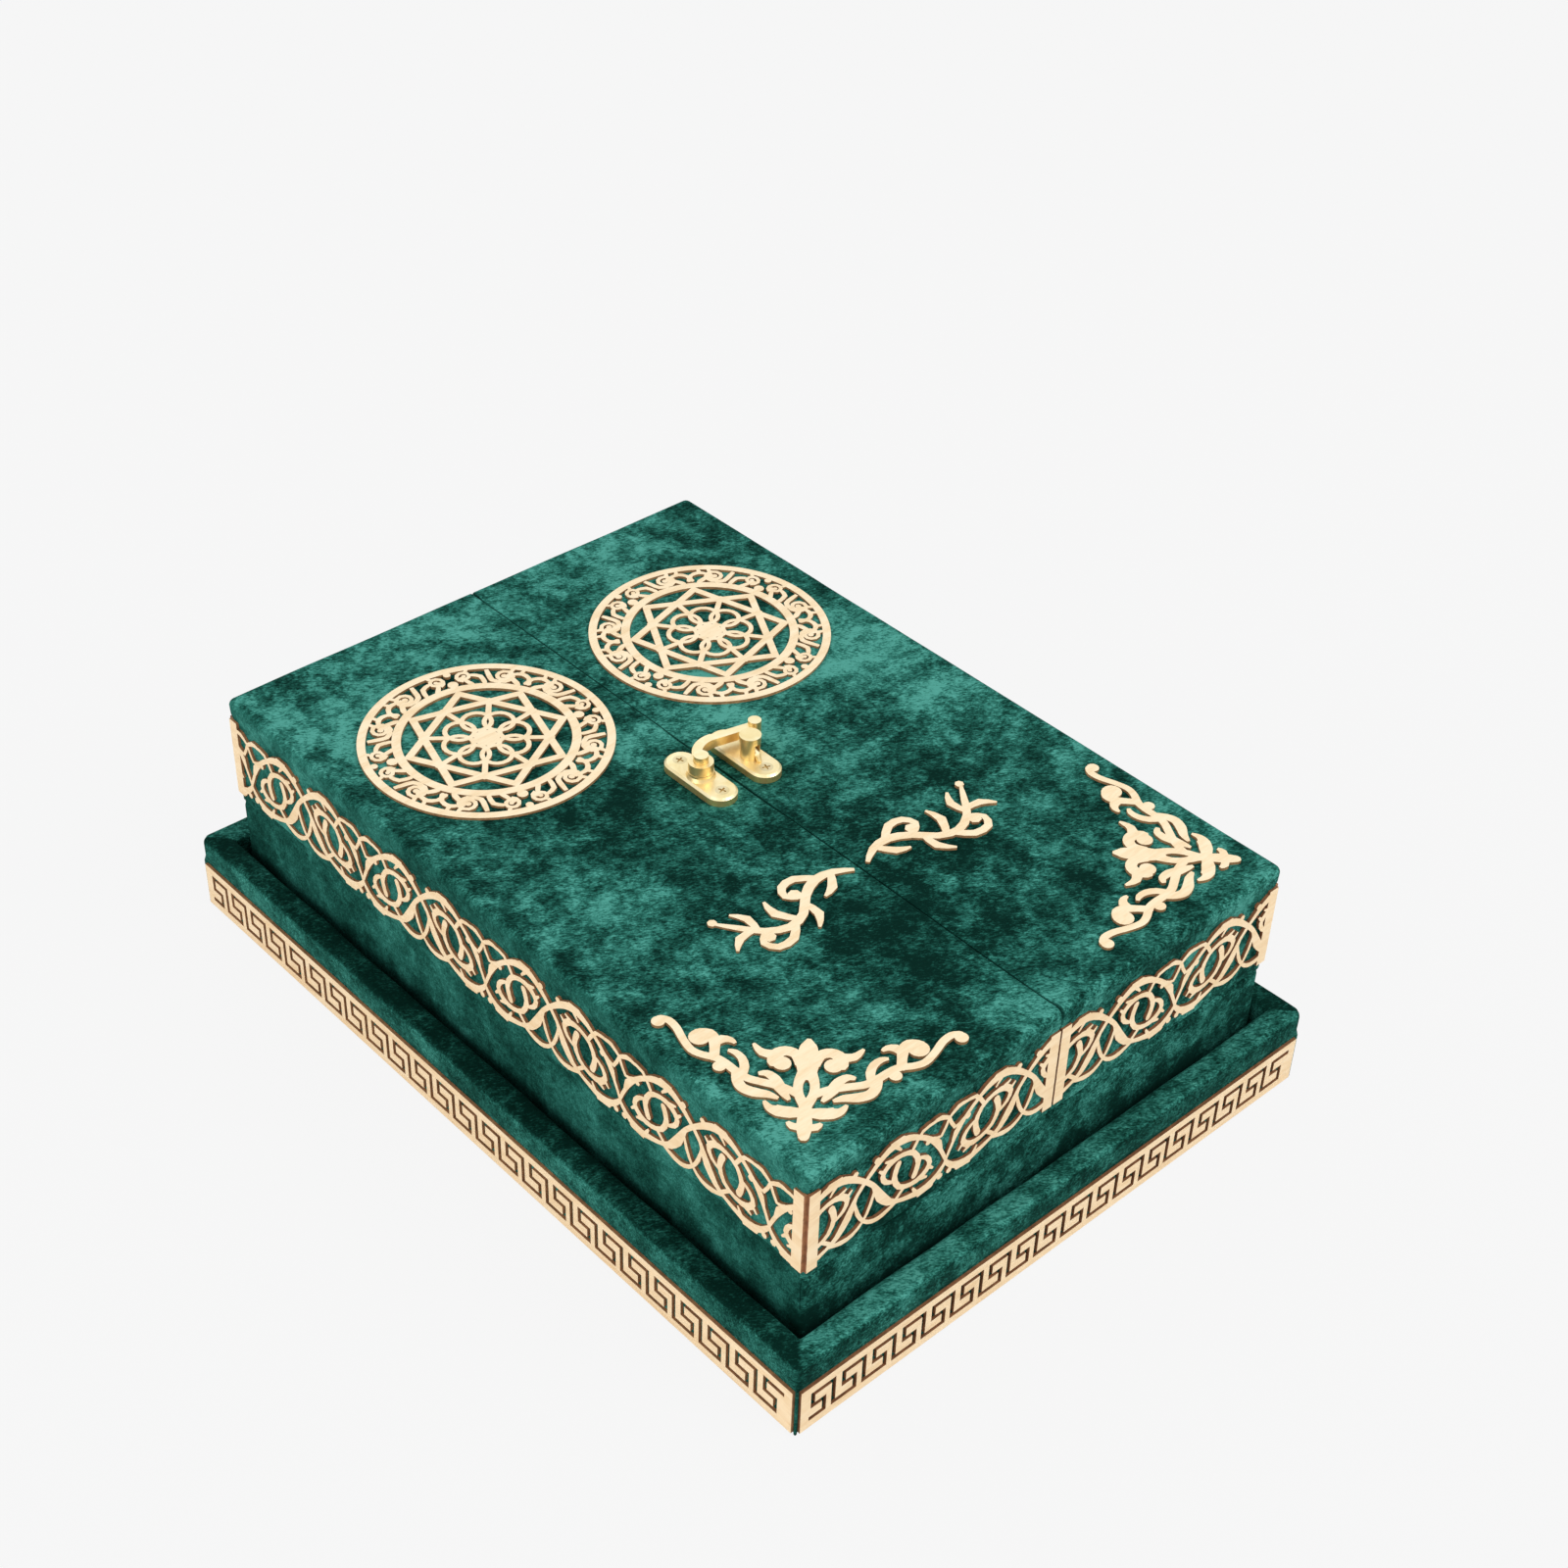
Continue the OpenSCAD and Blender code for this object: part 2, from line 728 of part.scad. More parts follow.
module box_wall_front() {
    cross_wall(tray_z, lower_wall_top);
}

module box_wall_rear() {
    mirror([0, 1, 0])
        cross_wall(tray_z, lower_wall_top);
}

module box_wall_left() {
    long_wall(tray_z, lower_wall_top);
}

module box_wall_right() {
    on_right()
        long_wall(tray_z, lower_wall_top);
}

// The strip of velvet that carries a leaf, in the thickness of the covers
module hinge_strip(spare) {
    span(
        [-box_w / 2 - spare, -boards_l / 2, parting_z - hinge_drop],
        [-box_w / 2 + velvet_t, boards_l / 2, parting_z + hinge_rise]
    );
}

module hinge_cloth_left() {
    color(velvet_colour)
        hinge_strip(0);
}

module hinge_cloth_right() {
    on_right()
        hinge_cloth_left();
}

module box_velvet() {
    color(velvet_colour)
        difference() {
            slab(box_w, box_l, tray_z, lower_top);
            slab(boards_w, boards_l, tray_z - past, lower_wall_top);
            slab(inner_w, inner_l, tray_z - past, lower_top + past);
            hinge_strip(past);
            on_right()
                hinge_strip(past);
        }
}

module box_lining() {
    color(lining_colour)
        difference() {
            slab(inner_w, inner_l, tray_z + floor_t, lower_top);
            slab(inner_w - 2 * lining_t, inner_l - 2 * lining_t, tray_z + floor_t + lining_t, lower_top + past);
        }
}

// Holes for the screws of one clasp plate, on the left leaf
module screw_places() {
    for (side = [-1, 1])
        translate([-plate_x, plate_y + side * screw_pitch / 2, box_top])
            children();
}

module screw_holes() {
    screw_places()
        translate([0, 0, -screw_l])
            cylinder(d = screw_d, h = screw_l + past);
}

// Lid leaves
module panel_left() {
    color(board_colour)
        difference() {
            span(
                [-boards_w / 2, -boards_l / 2, ceiling_z],
                [-seam_gap / 2 - velvet_t, boards_l / 2, ceiling_z + panel_t]
            );
            screw_holes();
        }
}

module panel_right() {
    on_right()
        panel_left();
}

module side_wall_left() {
    long_wall(wall_base, ceiling_z);
}

module side_wall_right() {
    on_right()
        side_wall_left();
}

module front_wall_left() {
    color(board_colour)
        span(
            [-inner_w / 2, -boards_l / 2, wall_base],
            [-seam_gap / 2 - velvet_t, -inner_l / 2, ceiling_z]
        );
}

module front_wall_right() {
    on_right()
        front_wall_left();
}

module rear_wall_left() {
    mirror([0, 1, 0])
        front_wall_left();
}

module rear_wall_right() {
    on_right()
        rear_wall_left();
}

module leaf_velvet_left() {
    color(velvet_colour)
        difference() {
            translate([leaf_mid, 0, leaf_base])
                eased_block(leaf_w, box_l, leaf_h, edge_r);
            span(
                [-boards_w / 2, -boards_l / 2, wall_base],
                [-seam_gap / 2 - velvet_t, boards_l / 2, box_top - velvet_t]
            );
            span(
                [-inner_w / 2, -inner_l / 2, leaf_base - past],
                [past, inner_l / 2, ceiling_z]
            );
            hinge_strip(past);
            screw_holes();
        }
}

module leaf_velvet_right() {
    on_right()
        leaf_velvet_left();
}

module leaf_lining_left() {
    color(lining_colour)
        difference() {
            span(
                [-inner_w / 2, -inner_l / 2, leaf_base],
                [-seam_gap / 2, inner_l / 2, ceiling_z]
            );
            span(
                [lining_t - inner_w / 2, lining_t - inner_l / 2, leaf_base - past],
                [past, inner_l / 2 - lining_t, ceiling_z - lining_t]
            );
        }
}

module leaf_lining_right() {
    on_right()
        leaf_lining_left();
}

// Bands, with a post at each end
module side_band() {
    translate([-box_l / 2, 0])
        scroll_band(box_l, side_band_first, [0, box_l - post_w]);
}

module half_band() {
    scroll_band(leaf_w, half_band_first, [0, leaf_w - post_w]);
}

module band_left() {
    color(wood_colour)
        on_side(-90, box_w / 2, band_z)
            cut_sheet()
                side_band();
}

module band_right() {
    color(wood_colour)
        on_side(90, box_w / 2, band_z)
            cut_sheet()
                mirror([1, 0])
                    side_band();
}

module band_front_left() {
    color(wood_colour)
        on_side(0, box_l / 2, band_z)
            translate([-box_w / 2, 0, 0])
                cut_sheet()
                    half_band();
}

module band_front_right() {
    color(wood_colour)
        on_side(0, box_l / 2, band_z)
            translate([seam_gap / 2, 0, 0])
                cut_sheet()
                    half_band();
}

module band_rear_left() {
    rotate(180)
        band_front_right();
}

module band_rear_right() {
    rotate(180)
        band_front_left();
}

// Clasp
module clasp_plate() {
    end_d = plate_w;
    top_d = plate_w - 2 * plate_bevel;
    difference() {
        hull()
            for (side = [-1, 1])
                translate([-plate_x, plate_y + side * (plate_l - end_d) / 2, box_top]) {
                    cylinder(d = end_d, h = plate_t - plate_bevel, $fn = 32);
                    cylinder(d = top_d, h = plate_t, $fn = 32);
                }
        screw_places() {
            translate([0, 0, -past])
                cylinder(d = screw_d, h = plate_t + 2 * past);
            translate([0, 0, plate_t - (screw_head_d - screw_d) / 2])
                cylinder(d1 = screw_d, d2 = screw_head_d, h = (screw_head_d - screw_d) / 2);
        }
    }
}

module plate_screws() {
    head_h = (screw_head_d - screw_d) / 2;
    cross_w = 0.6;
    cross_l = screw_head_d * 0.6;
    cross_h = 0.6;
    color(brass_colour)
        screw_places()
            difference() {
                union() {
                    translate([0, 0, -screw_l])
                        cylinder(d = screw_d, h = screw_l + plate_t - head_h);
                    translate([0, 0, plate_t - head_h])
                        cylinder(d1 = screw_d, d2 = screw_head_d, h = head_h);
                }
                for (turn = [0, 90])
                    translate([0, 0, plate_t])
                        rotate(turn + 20)
                            cube([cross_l, cross_w, 2 * cross_h], center = true);
            }
}

module clasp_pivot_plate() {
    collar_d = plate_w - 2 * plate_bevel;
    collar_h = shoulder_h * 0.6;
    color(brass_colour) {
        clasp_plate();
        translate([stud_at[0], stud_at[1], plate_z]) {
            cylinder(d1 = collar_d, d2 = shoulder_d, h = collar_h);
            cylinder(d = shoulder_d, h = shoulder_h);
            cylinder(d = stud_d, h = stud_h);
        }
    }
}

// The keeper's claw, from its slot down to the plate in front of the post
module claw() {
    low_d = slot_w - 0.4;
    hull() {
        translate([0.3, -0.8, 3.6])
            sphere(d = low_d, $fn = 12);
        translate([0.2, -3.3, 2])
            sphere(d = slot_w, $fn = 12);
    }
    hull() {
        translate([0.2, -3.3, 2])
            sphere(d = slot_w, $fn = 12);
        translate([0.1, -4.3, 0.4])
            sphere(d = low_d, $fn = 12);
    }
}

module clasp_keeper_plate() {
    foot_d = keeper_d * 0.86;
    color(brass_colour) {
        on_right()
            clasp_plate();
        translate([plate_x, plate_y - keeper_set, plate_z]) {
            difference() {
                cylinder(d1 = foot_d, d2 = keeper_d, h = keeper_h);
                translate([-slot_w / 2 + 0.3, -keeper_d, 0.6])
                    cube([slot_w, keeper_d + 1, keeper_h - cap_h - 0.6]);
            }
            claw();
        }
    }
}

module clasp_pivot_screws() {
    plate_screws();
}

module clasp_keeper_screws() {
    on_right()
        plate_screws();
}

// A curve from the stud, running straight into a bar that ends in the knob
module clasp_arm() {
    centre = stud_at + arm_r * [cos(arm_lean), sin(arm_lean)];
    to_knob = knob_at - centre;
    a_bar = atan2(to_knob[1], to_knob[0]) + acos(arm_r / norm(to_knob));
    a_stud = 180 + arm_lean;
    bar_l = sqrt(to_knob * to_knob - arm_r * arm_r);
    color(brass_colour)
        difference() {
            union() {
                translate([centre[0], centre[1], arm_z]) {
                    rotate_extrude(angle = a_stud - a_bar, start = a_bar)
                        translate([arm_r - arm_w / 2, 0])
                            square([arm_w, arm_t]);
                    rotate(a_bar - 90)
                        translate([-bar_lap, bar_step + arm_r - arm_w / 2, bar_step])
                            cube([bar_l + bar_lap, arm_w - 2 * bar_step, arm_t - 2 * bar_step]);
                }
                translate([stud_at[0], stud_at[1], arm_z])
                    cylinder(d = arm_ring_d, h = arm_t);
                translate([knob_at[0], knob_at[1], plate_z + knob_foot])
                    cylinder(d = knob_d, h = knob_h);
            }
            translate([stud_at[0], stud_at[1], arm_z - past])
                cylinder(d = stud_d + 2 * stud_gap, h = arm_t + 2 * past);
        }
}

plinth_board();
plinth_rail_front();
plinth_rail_rear();
plinth_rail_left();
plinth_rail_right();
plinth_velvet();
key_strip_front();
key_strip_rear();
key_strip_left();
key_strip_right();
box_floor();
box_wall_front();
box_wall_rear();
box_wall_left();
box_wall_right();
box_velvet();
box_lining();
hinge_cloth_left();
hinge_cloth_right();
panel_left();
panel_right();
side_wall_left();
side_wall_right();
front_wall_left();
front_wall_right();
rear_wall_left();
rear_wall_right();
leaf_velvet_left();
leaf_velvet_right();
leaf_lining_left();
leaf_lining_right();
band_left();
band_right();
band_front_left();
band_front_right();
band_rear_left();
band_rear_right();
medallion_left();
medallion_right();
corner_ornament_left();
corner_ornament_right();
flourish_left();
flourish_right();
clasp_pivot_plate();
clasp_keeper_plate();
clasp_pivot_screws();
clasp_keeper_screws();
clasp_arm();
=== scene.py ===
"""Velvet book box on a plinth: velvet, linings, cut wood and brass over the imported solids."""

import math
from itertools import pairwise, product

import bpy
from mathutils import Euler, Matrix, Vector, noise


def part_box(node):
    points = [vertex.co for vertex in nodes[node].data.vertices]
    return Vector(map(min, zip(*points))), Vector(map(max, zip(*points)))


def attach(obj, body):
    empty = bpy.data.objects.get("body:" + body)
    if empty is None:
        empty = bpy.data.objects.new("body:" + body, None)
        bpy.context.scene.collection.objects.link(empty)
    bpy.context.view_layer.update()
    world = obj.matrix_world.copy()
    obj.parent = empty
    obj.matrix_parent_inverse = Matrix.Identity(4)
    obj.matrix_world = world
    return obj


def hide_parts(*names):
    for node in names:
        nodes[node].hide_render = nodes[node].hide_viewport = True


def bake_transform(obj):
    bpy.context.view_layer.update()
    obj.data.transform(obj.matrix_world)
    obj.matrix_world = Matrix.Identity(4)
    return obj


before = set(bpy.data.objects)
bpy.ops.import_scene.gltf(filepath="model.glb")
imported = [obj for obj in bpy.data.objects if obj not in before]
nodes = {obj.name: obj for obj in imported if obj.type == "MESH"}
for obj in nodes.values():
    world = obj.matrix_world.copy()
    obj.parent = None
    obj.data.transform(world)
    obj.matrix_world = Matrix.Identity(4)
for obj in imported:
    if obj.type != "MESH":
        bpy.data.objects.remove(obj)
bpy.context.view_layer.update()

MM = 0.001
SIDES = ("left", "right")
ALONG_X, ALONG_Y, ALONG_Z = (1, 0, 0), (0, 1, 0), (0, 0, 1)

# Camera, at the photograph's angle: millimetres, metres and degrees
SENSOR_WIDTH, FOCAL_LENGTH = 36, 57.08
CLIP_NEAR, CLIP_FAR = 0.01, 50
CAMERA_PLACE = (-0.41947, -0.46300, 0.57039)
CAMERA_TURN = (52.236, -1.643, -42.277)

# Soft studio lamps: name, place, width of the disc, power
LAMPS = (
    ("key", (0.5, -1.15, 1.45), 1.3, 16.5),
    ("fill", (-1.5, -0.25, 0.65), 1.4, 10.5),
    ("back", (0.3, 1.4, 1.3), 1.4, 4.6),
)
LAMP_AIM = (0, 0, 0.04)

# Floor and background: PALE is what is seen of them, and the rest is how they light the box
PALE = (0.93, 0.93, 0.93, 1)
SKY, SKY_STRENGTH = (0.95, 0.97, 1, 1), 0.6
FLOOR_COLOUR, FLOOR_ROUGH, FLOOR_GLOSS = (0.76, 0.76, 0.76, 1), 0.9, 0.1
FLOOR_PALE_SHARE = 0.96
FLOOR_HALF, FLOOR_LEVEL = 6.0, -0.2 * MM

# Velvet: its colours from pile that lies dark to pile that catches the light
VELVET_TONES = (
    (0.0, (0.0012, 0.0135, 0.0095)),
    (0.25, (0.0048, 0.042, 0.0305)),
    (0.5, (0.0138, 0.099, 0.075)),
    (0.75, (0.036, 0.205, 0.161)),
    (1.0, (0.09, 0.36, 0.295)),
)
VELVET_SHEEN = (0.15, 0.75, 0.6, 1)
# The lie of the pile where nothing changes it, and how much each layer changes it
EVEN_LIE = 0.45
BLOTCH, CRUSH, FIBRE, HAIR = 0.37, 0.5, 1.05, 1.6
# The way that the fibres lie, in degrees, and how far they and the single hairs are drawn out
COMB, FIBRE_STRETCH, HAIR_STRETCH = -30, 1.7, 2.6
# How far the patches and the marks, partly painted light and shade, wander from their places
PATCH_WANDER, MARK_WANDER = 7 * MM, 30 * MM

# Marks that leave the pile lighter or darker: centre, reach, change of lie
# On the lid: painted light from behind at the rear, and other lighter and darker patches
LID_MARKS_AND_PAINTED_LIGHT = (
    ((-0.084, 0.092, 0.087), (0.034, 0.06, 1), 0.17),
    ((0.048, 0.042, 0.087), (0.062, 0.036, 1), 0.3),
    ((0.022, 0.036, 0.087), (0.028, 0.032, 1), 0.2),
    ((0.092, -0.022, 0.087), (0.03, 0.06, 1), 0.26),
    ((0.012, -0.066, 0.087), (0.085, 0.075, 1), -0.18),
    ((-0.04, 0.014, 0.087), (0.042, 0.03, 1), -0.18),
    ((0.035, 0.122, 0.087), (0.085, 0.045, 1), 0.15),
    ((-0.084, -0.1, 0.087), (0.028, 0.04, 1), 0.2),
    ((0, -0.138, 0.087), (1, 0.014, 1), 0.06),
)
# On the box: painted shade at its foot by the plinth's rim, then a darker front
BOX_MARKS_AND_PAINTED_SHADE = (
    ((0, 0, 0.012), (10, 10, 0.019), -0.3),
    ((0, -0.14, 0.03), (1, 0.006, 0.03), -0.1),
)
# The plinth's rim is painted light and shade by which way its faces face.
# Change of lie from its upright faces to its top, and on the upright faces
RIM_ENDS_PAINTED_LIGHT, RIM_LONG_SIDES_PAINTED_LIGHT = (0.22, -0.1), (-0.36, 0.04)
# Where the rim's ends meet its long sides: width less length at the mitre
MITRE, MITRE_BLEND = -41.5 * MM, 1 * MM

# Colours of the wood and the brass, each at its place in a noise
WOOD_TONES = (
    (0.25, (0.84, 0.62, 0.36)),
    (0.5, (0.94, 0.755, 0.495)),
    (0.75, (0.965, 0.81, 0.565)),
)
BOARD_TONES = (
    (0.3, (0.26, 0.15, 0.075)),
    (0.5, (0.4, 0.26, 0.14)),
    (0.7, (0.5, 0.35, 0.2)),
)
# Brass: painted light where it faces up, painted shade, darker and more orange, on its sides
BRASS_PAINTED_LIT_TONES = (
    (0.3, (0.8, 0.66, 0.33)),
    (0.55, (0.89, 0.785, 0.48)),
    (0.8, (0.94, 0.86, 0.6)),
)
BRASS_PAINTED_SHADE_TONES = (
    (0.3, (0.72, 0.47, 0.17)),
    (0.55, (0.86, 0.62, 0.26)),
    (0.8, (0.92, 0.71, 0.34)),
)
SOOT_DARK = 0.4
BRASS_EASE, BRASS_EASE_ANGLE = 0.22 * MM, 32

# Meshes: steps in a rounded edge or corner, and the usual sizes of a quad
EDGE_STEPS = 5
VELVET_STEP, UPRIGHT_STEP, LINING_STEP = 3.2 * MM, 2.6 * MM, 4 * MM
# A grid line this close to a mark gives way to it, and no corner of a ring is tighter than this
MARK_CLEAR, LEAST_CORNER = 0.3 * MM, 0.7 * MM
# Points that agree to a ten-millionth of a metre are one point
SAME_POINT_SCALE = 1e7

# Linings have crisp inner edges and are made longer than needed, then cut at their open side
LINING, LINING_EDGE, SPARE = 1.0 * MM, 0.7 * MM, 2.0 * MM

# Soft rises and hollows of the padding: size and depth
LID_RIPPLE = (34 * MM, 0.25 * MM)
BOX_RIPPLE = (30 * MM, 0.4 * MM)
PLINTH_RIPPLE = (26 * MM, 0.4 * MM)

# Faces that meet at the parting line stay flat, so the pile ends as they turn down or up
FACING_DOWN, FACING_UP = (-0.9, -0.3), (0.9, 0.3)

# A fuller hem stands above the bands and above the key strips
HEM = 0.95 * MM
LID_HEM, LID_HEM_REACH, LID_HEM_LESS_ON_TOP = (80.9 * MM, 83.4 * MM), (7 * MM, 0.5 * MM), 0.45
KEY_TOP, KEY_HEM = 18.9 * MM, 2.4 * MM

# Lid covers: their pile, how flat they lie under the clasp, and how far back under the hinges
LID_EDGE, LID_PILE, LID_TUCK = 1.6 * MM, 0.15 * MM, 0.42 * MM
CLASP_MIDDLE, CLASP_REACH, CLASP_OVAL = 6.8 * MM, (26 * MM, 19 * MM), 0.8

# The lid's seam is shut below, open near the surface, and open wider at its two ends
SEAM_OVERLAP, SEAM_SPARE = 0.02 * MM, 0.6 * MM
SEAM_OPEN, SEAM_OPEN_DEPTH = 0.22 * MM, (3 * MM, 1 * MM)
SEAM_WIDER, SEAM_END, SEAM_END_DEPTH = 0.5 * MM, (5 * MM, 0.5 * MM), (4 * MM, 1 * MM)

# Cover of the lower box, calmer towards the parting line
BOX_EDGE, BOX_CORNER, BOX_SINK, BOX_TUCK = 1.2 * MM, 2.0 * MM, 0.1 * MM, 0.28 * MM
BOX_CALM, BOX_CALM_SHARE = (6 * MM, 12 * MM), 0.3

# Cover of the plinth: a raised rim round a tray
RIM, RIM_EDGE, RIM_CROWN, RIM_CORNER = 8.0 * MM, 2.2 * MM, 0.25 * MM, 2.4 * MM
RIM_OUTSIDE, RIM_INSIDE, RIM_SINK, RIM_RISE = 4 * MM, 6 * MM, 0.05 * MM, (17 * MM, 21 * MM)
TRAY, TRAY_CURVE, TRAY_REACH = 13.0 * MM, (0.5 * MM, 1.5 * MM), 9 * MM
# How far the cloth stands out round a plinth corner, between two key strips, at each edge step
RIDGE = (0, 0.5 * MM, 0.6 * MM, 0.35 * MM, -0.15 * MM, -0.75 * MM)
RIDGE_ABOVE_KEY, RIDGE_TOUCH = 0.2 * MM, 0.01 * MM

# Cloth hinges: a strip on each long side with a shallow crease at the parting line
PARTING, PARTING_BEND = 45.5 * MM, 1.6 * MM
STRIP_LOW, STRIP_HIGH, STRIP_END = 33.2 * MM, 49.9 * MM, 138.9 * MM
STRIP_ROWS, STRIP_COLUMNS = 34, 90
STRIP_FOLD, STRIP_FOLD_WIDTH, STRIP_SINK, STRIP_EASE = 0.45 * MM, 0.9 * MM, 0.08 * MM, 0.12
# Over these distances the covers go back under a strip: at its side, its foot, and its top and ends
TUCK_SIDE, TUCK_FOOT, TUCK_EDGE = (0.6 * MM, 0.1 * MM), 0.6 * MM, 0.5 * MM


# Scene helpers
def add_object(name, data):
    obj = bpy.data.objects.new(name, data)
    bpy.context.scene.collection.objects.link(obj)
    return obj


def add_camera():
    data = bpy.data.cameras.new("camera")
    data.sensor_width = SENSOR_WIDTH
    data.lens = FOCAL_LENGTH
    data.clip_start = CLIP_NEAR
    data.clip_end = CLIP_FAR
    camera = add_object("camera", data)
    camera.location = CAMERA_PLACE
    camera.rotation_euler = Euler([math.radians(a) for a in CAMERA_TURN])
    bpy.context.scene.camera = camera


def add_lamp(name, place, size, power):
    data = bpy.data.lights.new(name, "AREA")
    data.shape = "DISK"
    data.size = size
    data.energy = power
    lamp = add_object(name, data)
    lamp.location = place
    lamp.rotation_euler = (Vector(LAMP_AIM) - Vector(place)).to_track_quat("-Z", "Y").to_euler()


def add_piece(name, points, faces, material):
    mesh = bpy.data.meshes.new(name)
    mesh.from_pydata([tuple(p) for p in points], [], faces)
    mesh.validate()
    mesh.polygons.foreach_set("use_smooth", [True] * len(mesh.polygons))
    mesh.materials.append(material)
    return add_object(name, mesh)


# Floor and background
def seen_directly(tree):
    """1 for what the camera, a reflection or a see-through surface shows."""
    path = tree.nodes.new("ShaderNodeLightPath")
    total = path.outputs["Is Camera Ray"]
    for name in ("Is Glossy Ray", "Is Transmission Ray"):
        step = tree.nodes.new("ShaderNodeMath")
        step.operation = "MAXIMUM"
        tree.links.new(total, step.inputs[0])
        tree.links.new(path.outputs[name], step.inputs[1])
        total = step.outputs[0]
    return total


def join_shaders(tree, share, lit, shown, output):
    """Ends a tree in two shaders: share says how much of the second one there is."""
    mix = tree.nodes.new("ShaderNodeMixShader")
    for socket, source in zip(mix.inputs, (share, lit.outputs[0], shown.outputs[0])):
        tree.links.new(source, socket)
    tree.links.new(mix.outputs[0], tree.nodes[output].inputs["Surface"])


def add_world():
    world = bpy.data.worlds.new("studio")
    bpy.context.scene.world = world
    world.use_nodes = True
    tree = world.node_tree
    sky = tree.nodes["Background"]
    sky.inputs["Color"].default_value = SKY
    sky.inputs["Strength"].default_value = SKY_STRENGTH
    shown = tree.nodes.new("ShaderNodeBackground")
    shown.inputs["Color"].default_value = PALE
    join_shaders(tree, seen_directly(tree), sky, shown, "World Output")


def add_floor():
    material = bpy.data.materials.new("floor")
    material.use_nodes = True
    tree = material.node_tree
    plain = tree.nodes["Principled BSDF"]
    plain.inputs["Base Color"].default_value = FLOOR_COLOUR
    plain.inputs["Roughness"].default_value = FLOOR_ROUGH
    plain.inputs["Specular IOR Level"].default_value = FLOOR_GLOSS
    glow = tree.nodes.new("ShaderNodeEmission")
    glow.inputs["Color"].default_value = PALE
    share = tree.nodes.new("ShaderNodeMath")
    share.operation = "MULTIPLY"
    share.inputs[1].default_value = FLOOR_PALE_SHARE
    tree.links.new(seen_directly(tree), share.inputs[0])
    join_shaders(tree, share.outputs[0], plain, glow, "Material Output")
    signs = ((-1, -1), (1, -1), (1, 1), (-1, 1))
    corners = [(x * FLOOR_HALF, y * FLOOR_HALF, FLOOR_LEVEL) for x, y in signs]
    floor = add_piece("floor", corners, [[0, 1, 2, 3]], material)


